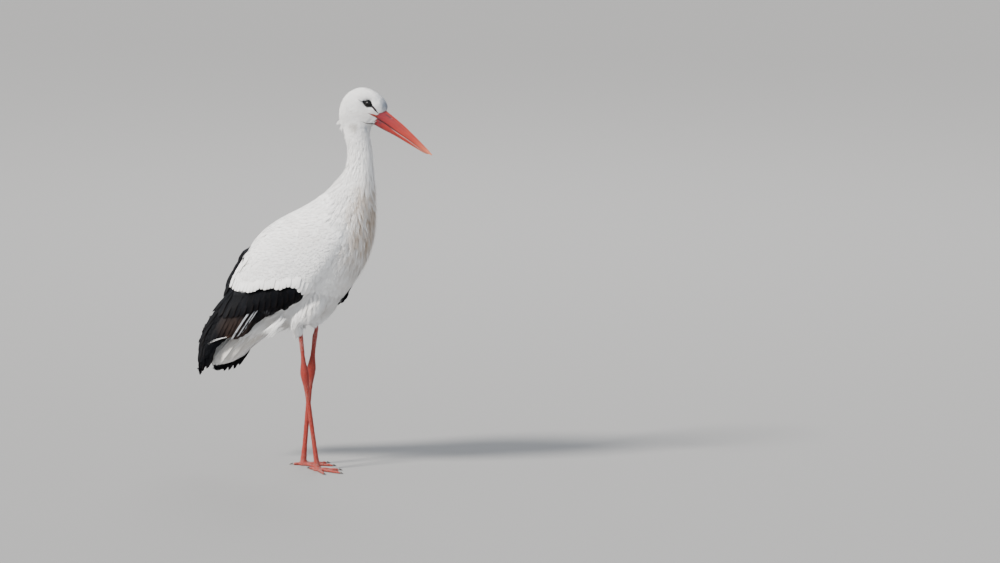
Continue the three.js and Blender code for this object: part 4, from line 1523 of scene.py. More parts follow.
def lens_reach(angle):
    """How far the almond's border is from its middle, in each direction."""
    c, s = np.cos(angle), np.abs(np.sin(angle))
    a = ALMOND_HIGH * (c / ALMOND_LONG) ** 2
    safe = np.where(a < 1e-9, 1, a)
    root = (-s + np.sqrt(s**2 + 4 * a * ALMOND_HIGH)) / (2 * safe)
    return np.where(a < 1e-9, ALMOND_HIGH / np.maximum(s, 1e-9), root)


def lids(sign):
    """A ring of lid and bare skin round one eye, from the eyeball out under the feathers."""
    angle = np.linspace(0, 2 * np.pi, LID_AROUND, endpoint=False)
    share = np.linspace(0, 1, LID_RINGS) ** 0.8
    inner = 1 / np.sqrt((np.cos(angle) / OPENING[0]) ** 2 + (np.sin(angle) / OPENING[1]) ** 2)
    outer = np.maximum(lens_reach(angle), inner + 0.6) + 1.2
    radius = inner[None] + (outer - inner)[None] * share[:, None]
    along, up = radius * np.cos(angle), radius * np.sin(angle)
    x = EYE_X + ALMOND_AHEAD * share[:, None] + along * math.cos(ALMOND_TILT)
    x = x - up * math.sin(ALMOND_TILT)
    z = EYE_Z - 1.0 * share[:, None] + along * math.sin(ALMOND_TILT) + up * math.cos(ALMOND_TILT)
    ball = BALL_OUT + np.sqrt(np.maximum((BALL + 0.15) ** 2 - radius**2, 0))
    skin_level = how_far_out([rough_tree], x, z, sign, 20) - 1.9
    rim = 0.40 * np.exp(-(((share - 0.17) / 0.13) ** 2))[:, None]
    folds = 0.16 * np.sin(share * 34)[:, None] * np.clip(share * 2, 0, 1)[:, None]
    blend = eased(np.clip(share / 0.30, 0, 1)[:, None])
    level = ball * (1 - blend) + skin_level * blend + rim + folds
    level = level - 2.2 * np.clip(share - 0.86, 0, 1)[:, None] * 7
    points = at(x, sign * level, z)
    faces = grid_faces(LID_RINGS, LID_AROUND, True)
    if sign > 0:
        faces = faces[:, ::-1]
    rimmed = np.exp(-(((share - 0.10) / 0.12) ** 2))[:, None, None]
    tint = LID_BLACK * (1 + 0.8 * rimmed) * np.ones(x.shape + (1,))
    return points.reshape(-1, 3), faces, tint.reshape(-1, 3), grid_uv(LID_RINGS, LID_AROUND)


# %% Folds of bare skin on the face
# Each fold is a line in the side view. wide and tall: its half width and height, in
# millimetres. grow and fade: how soon it rises and how late it ends. from and to: its colours.
# over_bill: how far it stands off the lower mandible.
FOLDS = {
    "lore": {"line": [(171, 913.5), (177, 908.5), (182, 902), (187, 895.5)], "wide": 2.5,
             "tall": 0.5, "grow": 8, "fade": 2.6, "from": (0.006, 0.006, 0.007),
             "to": (0.03, 0.012, 0.014)},
    "gape": {"line": [(162.5, 895.2), (170, 893), (178, 889.5), (187, 884)], "wide": 2.6,
             "tall": 0.9, "grow": 1.8, "fade": 6, "from": (0.05, 0.008, 0.008),
             "to": (0.33, 0.040, 0.018)},
    # The brow's dark line is painted shadow of the crease behind the eye.
    "brow_crease_shadow": {"line": [(134, 928.5), (141, 925), (148.5, 921.2)], "wide": 1.0,
             "tall": 0.2, "grow": 3, "fade": 6, "from": (0.45, 0.44, 0.43), "to": (0.02, 0.02, 0.02)},
    # The chin's line is black bare skin at the front and painted shade towards the rear.
    "chin": {"line": [(141, 874.8), (149, 872.2), (157.4, 869.2), (166, 867.8), (174.3, 868.2),
                      (178, 869.8)], "wide": 1.6,
             "tall": 1.3, "grow": 1.8, "fade": 6, "from": (0.14, 0.13, 0.12),
             "to": (0.008, 0.007, 0.008), "over_bill": 1.3},
}
FOLD_ROWS, FOLD_COLUMNS = 26, 9


bill_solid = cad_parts["bill_lower"].data
bill_tree = BVHTree.FromPolygons([v.co.copy() for v in bill_solid.vertices],
                                 [list(p.vertices) for p in bill_solid.polygons])


def fold(kind, sign):
    """A low rounded ridge of bare skin along the side of the face."""
    line = smooth_table(kind["line"], FOLD_ROWS)
    ahead = np.gradient(line, axis=0)
    aside = unit(np.stack([-ahead[:, 1], ahead[:, 0]], 1))
    across = np.linspace(-1, 1, FOLD_COLUMNS)
    rows = np.linspace(0, 1, FOLD_ROWS)
    ends = np.clip(rows * kind["grow"], 0.15, 1) * np.clip((1 - rows) * kind["fade"], 0.45, 1)
    spot = line[:, None] + aside[:, None] * (across[None, :, None] * kind["wide"] * ends[:, None, None])
    x, z = spot[..., 0], spot[..., 1]
    out = how_far_out([rough_tree], x, z, sign, 18)
    if "over_bill" in kind:
        out = np.maximum(out, how_far_out([bill_tree, skin_tree], x, z, sign, 0) + kind["over_bill"])
    else:
        out = np.maximum(out, np.interp(x, [172, 178, 190], [0, 15.4, 15.2]))
    out = out - 1.3 + kind["tall"] * (1 - across**2)[None] * ends[:, None] * 1.6
    points = at(x, sign * out, z)
    faces = grid_faces(FOLD_ROWS, FOLD_COLUMNS, False)
    if sign < 0:
        faces = faces[:, ::-1]
    tint = np.array(kind["from"]) * (1 - rows[:, None]) + np.array(kind["to"]) * rows[:, None]
    tint = np.repeat(tint, FOLD_COLUMNS, axis=0)
    return points.reshape(-1, 3), faces, tint, grid_uv(FOLD_ROWS, FOLD_COLUMNS)


# %% The lobe of the chin
# Where its free edge runs, as z and x in the side view, how far out the edge itself is, in
# millimetres, and the dark of its lip: black bare skin, deepened by painted shade at the edge.
LOBE_EDGE = np.array([(866, 170), (868.4, 174.3), (873.6, 181.7), (880, 184.3), (885, 183.7), (889, 183)])
LOBE_LONG = 15
LOBE_RIM = 10.5
LIP_DARK_AND_SHADE = (0.008, 0.007, 0.008)
CHEEK_ROWS, CHEEK_COLUMNS = 20, 16


def cheek(sign):
    """The lobe of the chin's skin that overlaps the root of the lower mandible."""
    z = np.repeat(np.linspace(868.2, 889, CHEEK_ROWS)[:, None], CHEEK_COLUMNS, 1)
    back = np.linspace(0, 1, CHEEK_COLUMNS)
    x = np.interp(z, LOBE_EDGE[:, 0], LOBE_EDGE[:, 1]) - LOBE_LONG * back[None]
    head = how_far_out([rough_tree], x, z, sign, 18)
    share = np.sin(np.clip(back / 0.6, 0, 1) * math.pi / 2)
    out = 13.6 + (np.minimum(head, 18) - 14.8) * share[None]
    out = out * np.clip((z - 862) / 8, 0, 1) ** 0.4
    out = np.maximum(out, how_far_out([bill_tree, skin_tree], x, z, sign, 0) + 0.5)
    out[:, 0] = LOBE_RIM
    points = at(x, sign * out, z).reshape(-1, 3)
    faces = grid_faces(CHEEK_ROWS, CHEEK_COLUMNS, False)
    if sign > 0:
        faces = faces[:, ::-1]
    tint = white_tint(points)
    # The lobe's front edge: black bare skin with painted shade.
    tint.reshape(CHEEK_ROWS, CHEEK_COLUMNS, 3)[:, :2] = LIP_DARK_AND_SHADE
    return points, faces, tint, grid_uv(CHEEK_ROWS, CHEEK_COLUMNS)


# %% Eyeballs
EYE_DARK = 0.002
IRIS = np.array([0.005, 0.003, 0.0025])
# The iris's inner and outer edge, in millimetres from the eye's axis.
IRIS_FROM, IRIS_TO = 2.4, 5.3


def eye_finish():
    """Dark brown iris round a black pupil under a clear wet surface."""
    material, nodes, links, shader = new_material("wet_eye", 0.30, 0.22)
    flecked_tint(nodes, links, shader, 1500.0, 2.0, 0.7, 1.3)
    return material


def eyeball(sign, finish):
    """A ball with a slight corneal swell, its pupil and iris painted by distance."""
    rings, around = 40, 48
    polar = np.linspace(0.01, math.pi - 0.01, rings)
    angle = np.linspace(0, 2 * np.pi, around, endpoint=False)
    p, a = np.meshgrid(polar, angle, indexing="ij")
    swell = BALL + 0.25 * np.exp(-((p / 0.62) ** 2))
    x = EYE_X + swell * np.sin(p) * np.cos(a)
    z = EYE_Z + swell * np.sin(p) * np.sin(a)
    points = at(x, sign * (BALL_OUT + swell * np.cos(p)), z).reshape(-1, 3)
    off = (BALL * np.sin(p)).ravel()
    tint = np.full((len(off), 3), EYE_DARK)
    iris = np.clip((off - IRIS_FROM) / 0.35, 0, 1) * np.clip((IRIS_TO - off) / 0.4, 0, 1)
    tint = mixed(tint, IRIS, iris)
    faces = grid_faces(rings, around, True)
    if sign < 0:
        faces = faces[:, ::-1]
    name = "eyeball_left" if sign > 0 else "eyeball_right"
    return mesh_object(name, points, faces, finish, tint, {"UVMap": grid_uv(rings, around)})


glass = eye_finish()
eyeballs = {"eye_right": eyeball(-1, glass), "eye_left": eyeball(1, glass)}
print("eyeballs:", 2 * BALL, "mm across")

# %% Shape of the bill
# Sections from the face to the tip: the top edge's x and z, the lower edge's, half the width.
UPPER_SECTIONS = [
    (192, 908, 162, 894.5, 17.0), (203, 899.3, 177, 885.6, 15.6), (225, 884, 205, 870.4, 11.6),
    (247, 867.6, 231.5, 852, 8.7), (269, 849, 258, 836.4, 6.6), (291, 829.5, 284, 819, 4.8),
    (309, 813, 304, 805, 3), (323.2, 798.6, 321.6, 797.2, 0.9),
]
LOWER_SECTIONS = [
    (160, 891.6, 154, 872, 11.0), (177, 884.5, 172.5, 863, 12.6), (190, 876.5, 186, 856.6, 12.8),
    (204, 868.8, 199.8, 850.4, 10.4),
    (230, 850.9, 226, 839.2, 7.4), (256.5, 835.3, 253, 825.8, 5.6), (283, 818, 280, 812.4, 4),
    (302, 804.9, 300, 802.6, 2.4), (313, 800.2, 312, 799.2, 0.9),
]
# Half a ring, from the top edge round to the lower one: height along the section, and width.
UPPER_RING = [(1, 0), (0.97, 0.16), (0.86, 0.34), (0.62, 0.55), (0.25, 0.74), (-0.2, 0.88),
              (-0.62, 0.97), (-0.92, 1.0), (-1.0, 0.95), (-0.97, 0.86), (-0.90, 0.5), (-0.88, 0)]
LOWER_RING = [(1.30, 0), (1.28, 0.4), (1.22, 0.74), (1.0, 0.88), (0.86, 0.98), (0.5, 0.99),
              (0.0, 0.92), (-0.45, 0.76), (-0.78, 0.52), (-0.95, 0.25), (-1, 0)]
BILL_ROWS = 130
RING_STEPS = 22

# %% Colours of the bill
BILL_BASE = np.array([0.150, 0.005, 0.014])
BILL_MIDDLE = np.array([0.31, 0.024, 0.014])
BILL_TIP = np.array([0.55, 0.17, 0.085])
# Dark blotches of the horn; the same colour is also painted shade in the nostril, its groove, along the
# mouth and under the bill's root.
BILL_DARK_AND_SHADE = np.array([0.045, 0.014, 0.016])
# A painted highlight along the upper mandible's ridge.
BILL_RIDGE_HIGHLIGHT = np.array([0.42, 0.035, 0.014])
BILL_UNDER = np.array([0.24, 0.012, 0.010])
BILL_GLINT = np.array([0.50, 0.46, 0.44])
SLATE_PATCH = np.array([0.030, 0.020, 0.028])
# Turns points so that their first axis runs along the bill.
ALONG_BILL = np.array([[0.77, 0, 0.64], [0, 1, 0], [-0.64, 0, 0.77]])
# A slit and a groove, each a line in the side view by its two ends and its half width.
NOSTRIL = ((205, 891.4), (217, 883), 0.5)
GROOVE = ((219, 881), (276, 838), 0.0)


def bill_colour(points, along, high, upper):
    """Crimson at the face, orange-red on the way, pale at the tip; painted shade in nostril, groove and
    mouth, painted highlights on ridge and lower edge.
    """
    colour = np.tile(BILL_BASE, (len(points), 1))
    colour = mixed(colour, BILL_MIDDLE, np.clip((along - 0.10) / 0.45, 0, 1))
    colour = mixed(colour, BILL_TIP, np.clip((along - 0.62) / 0.36, 0, 1) ** 1.3)
    streak = hashed(points @ ALONG_BILL * np.array([0.18, 1, 1]), 1.6 * MM, 4.0)
    colour = colour * (0.84 + 0.30 * streak)[:, None]
    blotch = hashed(points, 7 * MM, 8.0)
    colour = mixed(colour, BILL_DARK_AND_SHADE, np.clip(blotch - 0.62, 0, 1) * (1 - along) * 1.2)
    if upper:
        # Painted highlight along the ridge.
        ridge = np.clip((high - 0.72) / 0.25, 0, 1)
        colour = mixed(colour, BILL_RIDGE_HIGHLIGHT, 0.6 * ridge)
        # Painted shade in the nostril slit and along its groove.
        colour = mixed(colour, BILL_DARK_AND_SHADE, np.clip(1 - off_line(points, NOSTRIL) / 1.3, 0, 1))
        colour = mixed(colour, BILL_DARK_AND_SHADE, 0.35 * np.clip(1 - off_line(points, GROOVE) / 0.9, 0, 1))
        # Painted shade along the mouth's edge, deepest near the face.
        mouth_gap_shade = np.clip((-0.86 - high) / 0.10, 0, 1) * np.clip(1.6 - 1.5 * along, 0, 1)
    else:
        # Painted shade along the mouth's edge.
        mouth_gap_shade = np.clip((high - 0.84) / 0.08, 0, 1)
        glint = np.clip(1 - np.abs(high - 0.90) / 0.12, 0, 1) * np.clip(4 - 14 * np.abs(along - 0.72), 0, 1)
        patch = spot_mask(points, 190, 871.5, 5.0, 3.2)
        colour = mixed(colour, SLATE_PATCH, 0.8 * patch)
        low = np.clip((-high - 0.1) / 0.6, 0, 1) * np.clip(1 - abs(along - 0.4) / 0.4, 0, 1)
        colour = mixed(colour, BILL_UNDER, 0.7 * low)
    colour = mixed(colour, BILL_DARK_AND_SHADE, 0.9 * mouth_gap_shade)
    return colour if upper else mixed(colour, BILL_GLINT, 0.8 * glint)


def horn_finish(name, roughness, scale):
    """Smooth horn with fine growth lines."""
    material, nodes, links, shader = new_material(name, roughness)
    grain = flecked_tint(nodes, links, shader, scale, 4.0, 0.88, 1.10)
    raised(nodes, links, shader, grain, 0.25, 0.0003)
    return material


# %% The two halves of the bill
def mandible(name, sections, half_ring, upper, finish):
    """One half of the bill as a closed tube."""
    table = smooth_table(sections, BILL_ROWS)
    ring = smooth_table(half_ring, RING_STEPS)
    whole = np.concatenate([ring, ring[-2:0:-1] * np.array([1, -1])])
    count = len(whole)
    top, low = table[:, 0:2], table[:, 2:4]
    middle, reach = (top + low) / 2, (top - low) / 2
    high = whole[None, :, 0]
    flat = middle[:, None] + reach[:, None] * high[..., None]
    wide = table[:, 4][:, None] * whole[None, :, 1]
    level = at(flat[..., 0], wide * 0, flat[..., 1]).reshape(-1, 3)
    if upper:
        slit = np.clip(1 - off_line(level, NOSTRIL) / 2.2, 0, 1) * 1.5
        line = np.clip(1 - off_line(level, GROOVE) / 1.6, 0, 1) * 0.45
        dip = (slit + line).reshape(wide.shape)
        wide = np.sign(wide) * np.maximum(np.abs(wide) - dip, 0.05)
    rows = np.linspace(0, 1, BILL_ROWS)
    ripple = 0.10 * np.sin(rows * 210)[:, None] * (1 - rows)[:, None] * np.abs(whole[None, :, 1])
    points = at(flat[..., 0], wide + np.sign(wide) * ripple, flat[..., 1]).reshape(-1, 3)
    faces = grid_faces(BILL_ROWS, count, True)
    if not upper:
        faces = faces[:, ::-1]
    faces = np.concatenate([faces, caps(count, 0, (BILL_ROWS - 1) * count)])
    along = np.repeat(rows, count)
    tint = bill_colour(points, along, np.tile(whole[:, 0], BILL_ROWS), upper)
    maps = {"UVMap": grid_uv(BILL_ROWS, count)}
    return mesh_object(name, points, faces, finish, tint, maps)


bill_horn = horn_finish("bill_horn", 0.36, 700.0)
bills = {
    "bill_upper": mandible("mandible_upper", UPPER_SECTIONS, UPPER_RING, True, bill_horn),
    "bill_lower": mandible("mandible_lower", LOWER_SECTIONS, LOWER_RING, False, bill_horn),
}
for name, made in {**eyeballs, **bills}.items():
    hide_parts(name)
print("bill:", sum(len(made.data.polygons) for made in bills.values()), "faces")


# %% [markdown]
# ## Tail feathers
# Twelve broad white feathers, closed like a fan. The outer ones show their pale edges below
# the folded wing, and painted shade greys their middles. They are laid on the solid tail from
# each side, like the wing's.

# %% Tail fan
TAIL_TIPS = [(-250, 263), (-244, 252), (-230, 250), (-213, 252), (-199, 265), (-180, 284)]
TAIL_COUNT = 6
# Painted shade: the whole tail is dimmed, and its feathers' middles are greyed.
TAIL_PAINTED_SHADE = np.array([0.80, 0.78, 0.75])
TAIL_SHADE_GREY = np.array([0.46, 0.42, 0.37])


def tail_fan(sign, seed):
    """Half of the tail: broad vanes whose ends step along the tail's edge."""
    rng = np.random.default_rng(seed)
    tips = along_line(TAIL_TIPS, TAIL_COUNT) + rng.normal(0, 0.8, (TAIL_COUNT, 2))
    lean = np.radians(np.linspace(54, 40, TAIL_COUNT))
    long = np.linspace(118, 92, TAIL_COUNT)
    x, z = hung(tips, lean, long, 0)
    place = np.linspace(0, 1, QUILL_ROWS)[None]
    field = FIELDS["tail"]
    over = 0.6 * place - 4.0 * (1 - place) ** 2 + np.linspace(1.6, -0.2, TAIL_COUNT)[:, None]
    out_y = np.maximum(field_at(field, x, z), 6 * MM)
    spine = np.stack([x, sign * (out_y + over * MM), z], 2)
    out = facing(field, x, z, sign)
    width = np.linspace(11.5, 12.5, TAIL_COUNT) * MM
    lead = np.full(TAIL_COUNT, 0.42 if sign < 0 else 0.58)
    roll = np.full(TAIL_COUNT, 0.10 * -sign)
    shape = {"blunt": 3.2, "waist": 0.45, "notch": 0.12, "cup": 0.06}
    points, faces, parts, who, across, far = quills(spine, out, width, lead, roll, shape, rng)
    # Painted shade dims the tail and greys each feather's middle; the edges and shaft keep the white.
    colour = white_tint(points) * TAIL_PAINTED_SHADE
    edge = np.abs(across) ** 6 * np.clip(far * 2 - 0.6, 0, 1)
    shaft = np.exp(-((across / 0.05) ** 2))
    colour = mixed(colour, WHITE, np.maximum(edge, 0.5 * shaft))
    colour = mixed(colour, TAIL_SHADE_GREY, 0.5 * (1 - edge) * (far < 0.9))
    maps = {"OFBake": on_sheet(spine[:, 0], who, parts["local"]), "Vane": parts["Vane"]}
    name = "tail_fan_right" if sign < 0 else "tail_fan_left"
    return mesh_object(name, points, faces, white_down, colour, maps)


tail_pieces = [tail_fan(-1, 31), tail_fan(1, 32)]
print("tail:", 2 * TAIL_COUNT, "feathers")

# %% [markdown]
# ## Loose tufts
# A living bird is never quite combed. A few strands stand off: pointed tufts on the nape, a
# wisp over the folded primaries, loose ends below the thighs and behind the flank, hackles
# on the foreneck. Each tuft is a bundle of narrow fans between two points.

# %% Strands
# root and tip: drawing x, y, z. count, half width, how far the tips scatter, sag of the middle.
TUFTS = {
    "nape_upper": ((91, -5, 873), (73, -6, 856), 11, 2.6, 2.0, -2.0),
    "nape_upper_left": ((91, 5, 873), (74, 6, 857), 10, 2.6, 2.0, -2.0),
    "nape_lower": ((90, -6, 862), (84, -7, 841), 10, 2.4, 2.2, -1.0),
    "nape_lower_left": ((90, 6, 862), (85, 7, 843), 9, 2.4, 2.2, -1.0),
    "throat": ((152, -8, 866), (153, -9, 846), 9, 2.0, 4.0, 1.5),
    "throat_left": ((152, 8, 866), (153, 9, 846), 9, 2.0, 4.0, 1.5),
    "neck_notch": ((92, -18, 728), (70, -22, 704), 8, 3.0, 4.0, -2.0),
    "wisp": ((-194, -66, 323), (-249, -62, 299), 4, 0.7, 1.3, -3.0),
    "flank": ((-46, -64, 382), (-88, -62, 330), 16, 4.0, 7.0, 2.0),
    "flank_back": ((-56, -60, 376), (-104, -60, 334), 9, 3.6, 5.0, 2.0),
    "flank_left": ((-62, 58, 360), (-108, 60, 326), 14, 4.2, 9.0, 3.0),
    "plume_a": ((54, -50, 450), (45, -50, 411), 7, 3.0, 3.0, 1.0),
    "plume_b": ((45, -50, 447), (34, -50, 401), 8, 3.2, 3.0, 1.0),
    "plume_c": ((34, -50, 439), (23, -50, 386), 8, 3.2, 3.0, 1.0),
    "plume_d": ((22, -50, 429), (9, -50, 378), 8, 3.4, 3.0, 1.0),
    "plume_e": ((7, -50, 414), (-8, -50, 362), 9, 3.6, 3.0, 1.0),
    "plume_f": ((-7, -50, 398), (-20, -46, 342), 9, 3.4, 3.0, 1.0),
    "plume_g": ((-16, -50, 386), (-27, -44, 330), 8, 3.0, 2.5, 1.0),
    "hem_wisp": ((-18, -46, 362), (-25, -42, 322), 5, 1.6, 2.0, 1.0),
    "thigh_left": ((14, 46, 380), (2, 46, 352), 9, 2.6, 4.0, 1.0),
}
TUFT_SHAPE = {
    "fingers": 5, "rows": 6, "fray": 0.42, "round": 0.4, "blunt": 1.3, "bend": 1.0, "sink": 0.0,
    "ruffle": 0.0, "stand": 0.0, "cup": 0.3, "point": 0.85,
}


# %% Bundle the strands
def tuft_paths(root, tip, count, scatter, sag, rng):
    """Curved paths from near one point to near another."""
    start = at(*root) + rng.normal(0, scatter * 0.5 * MM, (count, 3))
    end = at(*tip) + rng.normal(0, scatter * MM, (count, 3)) * np.array([1, 0.6, 0.8])
    place = np.linspace(0, 1, TUFT_SHAPE["rows"] + 1)[None, :, None]
    path = start[:, None] * (1 - place) + end[:, None] * place
    lean = unit(np.cross(end - start, np.array([0, 1.0, 0])))
    bow = sag * MM * rng.uniform(0.4, 1.4, (count, 1, 1))
    return path + lean[:, None] * bow * 4 * place * (1 - place)


def laid(path):
    """The same paths moved sideways on to the bird's outer surface, with their ends just off it."""
    path = path.copy()
    for spots in path:
        for k, spot in enumerate(spots):
            side = math.copysign(1, spot[1])
            found, _ = from_side(flesh_tree, spot[0], spot[2], side)
            if found is not None:
                spot[1] = found.y + side * (-1.5 + 4 * k / TUFT_SHAPE["rows"]) * MM
    return path


def loose_tufts():
    """All the tufts as one mesh."""
    rng = np.random.default_rng(77)
    paths, outs, widths = [], [], []
    for name, (root, tip, count, width, scatter, sag) in TUFTS.items():
        path = tuft_paths(root, tip, count, scatter, sag, rng)
        paths.append(laid(path) if name.startswith("plume") else path)
        out = unit(rng.normal(0, 0.35, (count, 3)) + np.array([0, math.copysign(1, root[1]), 0]))
        outs.append(np.repeat(out[:, None], TUFT_SHAPE["rows"] + 1, 1))
        widths.append(width * MM * rng.uniform(0.7, 1.2, count))
    path, out, width = np.concatenate(paths), np.concatenate(outs), np.concatenate(widths)
    room = np.zeros(path.shape[:2])
    roots = face_uv[nearest_faces(path[:, 0])]
    block, sheet, maps, who = fans((path, out, room), roots, width, TUFT_SHAPE, rng)
    colour = white_tint(block) * rng.uniform(0.95, 1.02, (len(path), 1))[who]
    print("loose_tufts", len(TUFTS), "tufts,", len(path), "strands")
    return mesh_object("loose_tufts", block, sheet, white_down, colour, maps)


tufts = loose_tufts()

# %% [markdown]
# ## Legs and feet
# A stork's legs are bare and scaly: many small rounded plates, longer than wide down the
# shin, small and knobbly on the joint, and wide bands across the tops of the toes. Each plate
# is a low dome set on the skin, with painted shade round its foot and a painted highlight on
# its top.

# %% Scales
# gap: closest distance of two plates' middles. size: half length and half width, both in
# millimetres. A plate is three rings: each one's share of the size, and its height in mm.
SCALE_SIDES = 8
SCALE_RINGS = ((1.0, -0.15), (0.76, 0.42), (0.40, 0.62))
# Painted light on each plate's rings: shade round its foot, a highlight on its top.
RING_SHADE_AND_HIGHLIGHT = np.array([0.40, 1.0, 1.15])
MUD = np.array([0.25, 0.13, 0.10])
DUST = np.array([0.22, 0.15, 0.12])
LIME = np.array([0.33, 0.17, 0.155])
JOINT_RED = np.array([0.15, 0.014, 0.010])
# Heights in metres: where dust ends, where the pale stain starts, and the ankle joint.
DUST_TOP, LIME_FROM, JOINT_AT = 0.040, 0.285, 0.262
SCALES = {
    "shank": {"gap": 2.7, "size": (1.9, 1.5)},
    "heel": {"gap": 2.3, "size": (1.45, 1.35)},
    "tarsus": {"gap": 2.8, "size": (2.0, 1.55)},
    "foot": {"gap": 2.4, "size": (1.5, 1.4)},
    "toe": {"gap": 2.6, "size": (1.25, 2.1)},
}


# %% Set the plates on the legs
def leg_lie(points, names):
    """Down the leg, or forward along the toe."""
    lie = np.tile([0.0, 0.0, -1.0], (len(points), 1))
    toes = belongs(names, "toe")
    for i in np.flatnonzero(toes):
        low, high = (Vector(c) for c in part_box(names[i]))
        run = high - low
        away = points[i] - np.array((low + high) / 2)
        lie[i] = (run.x, math.copysign(run.y, away[0] * away[1] + 1e-9), 0)
    return unit(lie)


def leg_scales():
    """Domed plates over the bare legs and feet as one mesh."""
    rng = np.random.default_rng(55)
    homes, places, sizes = [], [], []
    for word, style in SCALES.items():
        mask = belongs(face_node, word)
        if word == "shank":
            mask |= belongs(face_node, "thigh") & (face_middle[:, 2] / MM < thigh_end(face_middle) - 1)
        mask &= face_normal[:, 2] > -0.75
        faces, points = scattered(mask, style["gap"] * MM, 60 + len(homes))
        homes.append(faces)
        places.append(points)
        sizes.append(np.tile(style["size"], (len(faces), 1)))
    homes, places, sizes = (np.concatenate(k) for k in (homes, places, sizes))
    out = face_normal[homes]
    lie = pressed(leg_lie(places, face_node[homes]), out)
    side = np.cross(out, lie)
    count = len(homes)
    sizes = sizes * rng.uniform(0.85, 1.12, (count, 1)) * MM
    angle = np.linspace(0, 2 * np.pi, SCALE_SIDES, endpoint=False)[None]
    wobble = rng.uniform(0.86, 1.12, (count, SCALE_SIDES))
    rings = []
    for share, height in SCALE_RINGS:
        a = np.cos(angle) * wobble * share * sizes[:, :1]
        b = np.sin(angle) * wobble * share * sizes[:, 1:]
        spot = places[:, None] + lie[:, None] * a[..., None] + side[:, None] * b[..., None]
        found = [skin_tree.find_nearest(Vector(q))[0] for q in spot.reshape(-1, 3)]
        rings.append(np.array(found).reshape(spot.shape) + out[:, None] * height * MM)
    block = np.stack(rings, 1).reshape(count, -1, 3)
    one = [grid_faces(len(rings), SCALE_SIDES, True), caps(SCALE_SIDES, 2 * SCALE_SIDES)]
    faces = repeated(np.concatenate(one), count, len(rings) * SCALE_SIDES)
    mud = np.clip(hashed(places, 17 * MM, 12.0) - 0.55, 0, 1) * 1.2
    colour = mixed(RED * rng.uniform(0.72, 1.18, (count, 1)), MUD, mud)
    dust = np.clip(1 - places[:, 2] / DUST_TOP, 0, 1) * 0.35
    colour = mixed(colour, DUST, dust)
    limed = np.clip((places[:, 2] - LIME_FROM) / 0.02, 0, 1)
    limed = limed * (0.3 + 0.4 * hashed(places, 6 * MM, 1.0))
    colour = mixed(colour, LIME, limed)
    joint = np.clip(1 - np.abs(places[:, 2] - JOINT_AT) / 0.045, 0, 1)
    colour = mixed(colour, JOINT_RED, 0.6 * joint)
    # Each plate's rings are painted darker at the foot as shade and lighter on top as a highlight.
    tint = colour[:, None, None] * RING_SHADE_AND_HIGHLIGHT[None, :, None, None] * np.ones((1, 1, SCALE_SIDES, 1))
    spread = np.stack([np.cos(angle[0]), np.sin(angle[0])], 1) * 0.5
    ring_uv = np.stack([spread * s for s in (1, 0.78, 0.4)]).reshape(-1, 2)
    bake = face_uv[homes][:, None] + ring_uv[None] * PATCH
    print("leg_scales", count, "plates", 2 * len(faces), "triangles")
    maps = {"OFBake": bake.reshape(-1, 2)}
    return mesh_object("leg_scales", block.reshape(-1, 3), faces, scaly, tint.reshape(-1, 3), maps)


scaly = horn_finish("scaly_leg", 0.48, 900.0)
scales = leg_scales()


# %% Claws
CLAW_DARK = np.array([0.030, 0.022, 0.018])


def rounded(name, label, finish):
    """A fine smooth claw in place of a coarse one."""
    fine = modified(swollen([name], 0.0), "SUBSURF", levels=2)
    fine.name = label
    points = read(fine.vertices, "co", 3).astype(float)
    tint = CLAW_DARK * (0.8 + 0.9 * hashed(points, 1.5 * MM))[:, None]
    made = dressed(label, fine, finish, tint)
    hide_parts(name)
    return made


claw_horn = horn_finish("claw_horn", 0.30, 1200.0)
claws = [rounded(n, n.replace("claw", "nail"), claw_horn)
         for n in sorted(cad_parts) if n.startswith("claw")]
print("claws:", len(claws))


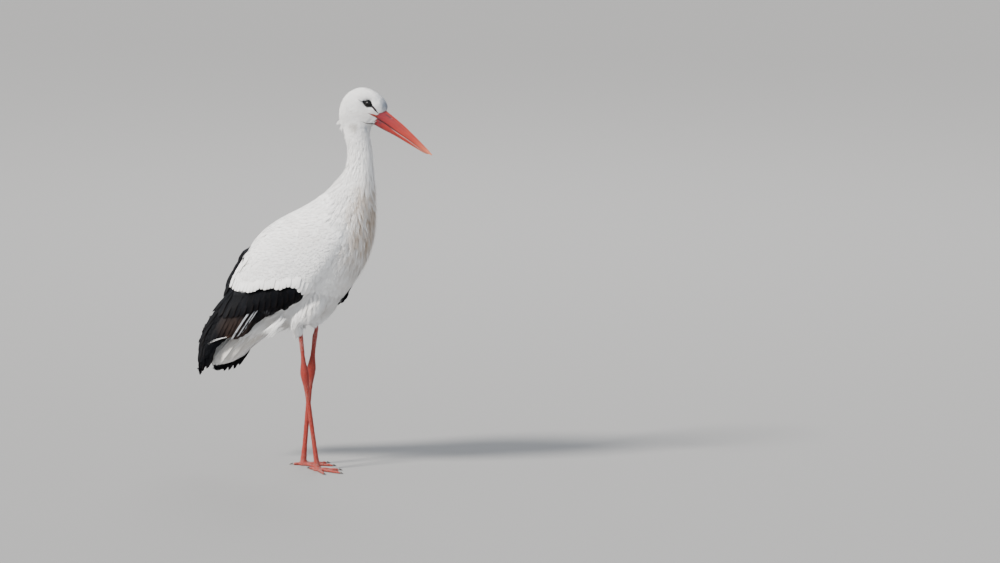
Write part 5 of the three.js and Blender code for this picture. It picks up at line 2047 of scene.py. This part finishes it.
# %% Dress the skin
def skin_finish():
    """Bare skin: the same tints as the coat, with fine wrinkles."""
    material, nodes, links, shader = new_material("bare_skin", 0.62, 0.22)
    tint = node(nodes, "ShaderNodeAttribute", attribute_name="Tint")
    links.new(tint.outputs["Color"], shader.inputs["Base Color"])
    wrinkles = node(nodes, "ShaderNodeTexNoise", Scale=900.0, Detail=3.0)
    raised(nodes, links, shader, wrinkles.outputs["Fac"], 0.4, 0.0003)
    return material


# Round the eye the skin sinks by this much, to leave room for the lids.
SOCKET_DEEP = 3.2 * MM
skin_tint = coat_tint(skin_points, node_of)
eye_ring = on_head & (almond(skin_points, 1.5) < 1)
skin_tint[eye_ring] = BLACK
inward = np.clip(1.25 - almond(skin_points, 0.5), 0, 0.5) * 2 * on_head
skin_points = skin_points - skin_normals * (SOCKET_DEEP * inward)[:, None]
# Past the face's edge the skin is drawn in under the bill and painted dark as shade.
beyond = past_face(skin_points, 1.0) & on_head
skin_points[beyond, 1] *= 0.5
skin_tint[beyond] = BILL_DARK_AND_SHADE
move_points(skin_points)
bare_skin = skin_finish()
skin = dressed("skin", skin_mesh, bare_skin, skin_tint)

# %% Join lids, folds and lobes to the skin
# Each small part takes a square of the strip that the skin's own sheet leaves free.
STRIP_SIZE, STRIP_STEP, STRIP_TOP = 0.045, 0.05, 0.945
parts = [lids(sign) for sign in (-1, 1)]
parts += [fold(kind, sign) for kind in FOLDS.values() for sign in (-1, 1)]
parts += [cheek(sign) for sign in (-1, 1)]
bare_face = [mesh_object("face_part", points, faces, bare_skin, tint,
                         {"OFBake": uv * STRIP_SIZE + [k * STRIP_STEP, STRIP_TOP]})
             for k, (points, faces, tint, uv) in enumerate(parts)]
with bpy.context.temp_override(active_object=skin, selected_editable_objects=[skin, *bare_face]):
    bpy.ops.object.join()
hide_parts(*FLESH)
print("skin:", len(skin.data.polygons), "faces, in place of", len(FLESH), "solids")


# %% Ride on the root
for piece in [skin, *coats.values(), *quill_pieces, *tail_pieces, tufts]:
    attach(piece, "root")

for piece in claws:
    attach(piece, "root")
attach(scales, "root")
for piece in eyeballs.values():
    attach(piece, "root")
for piece in bills.values():
    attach(piece, "root")
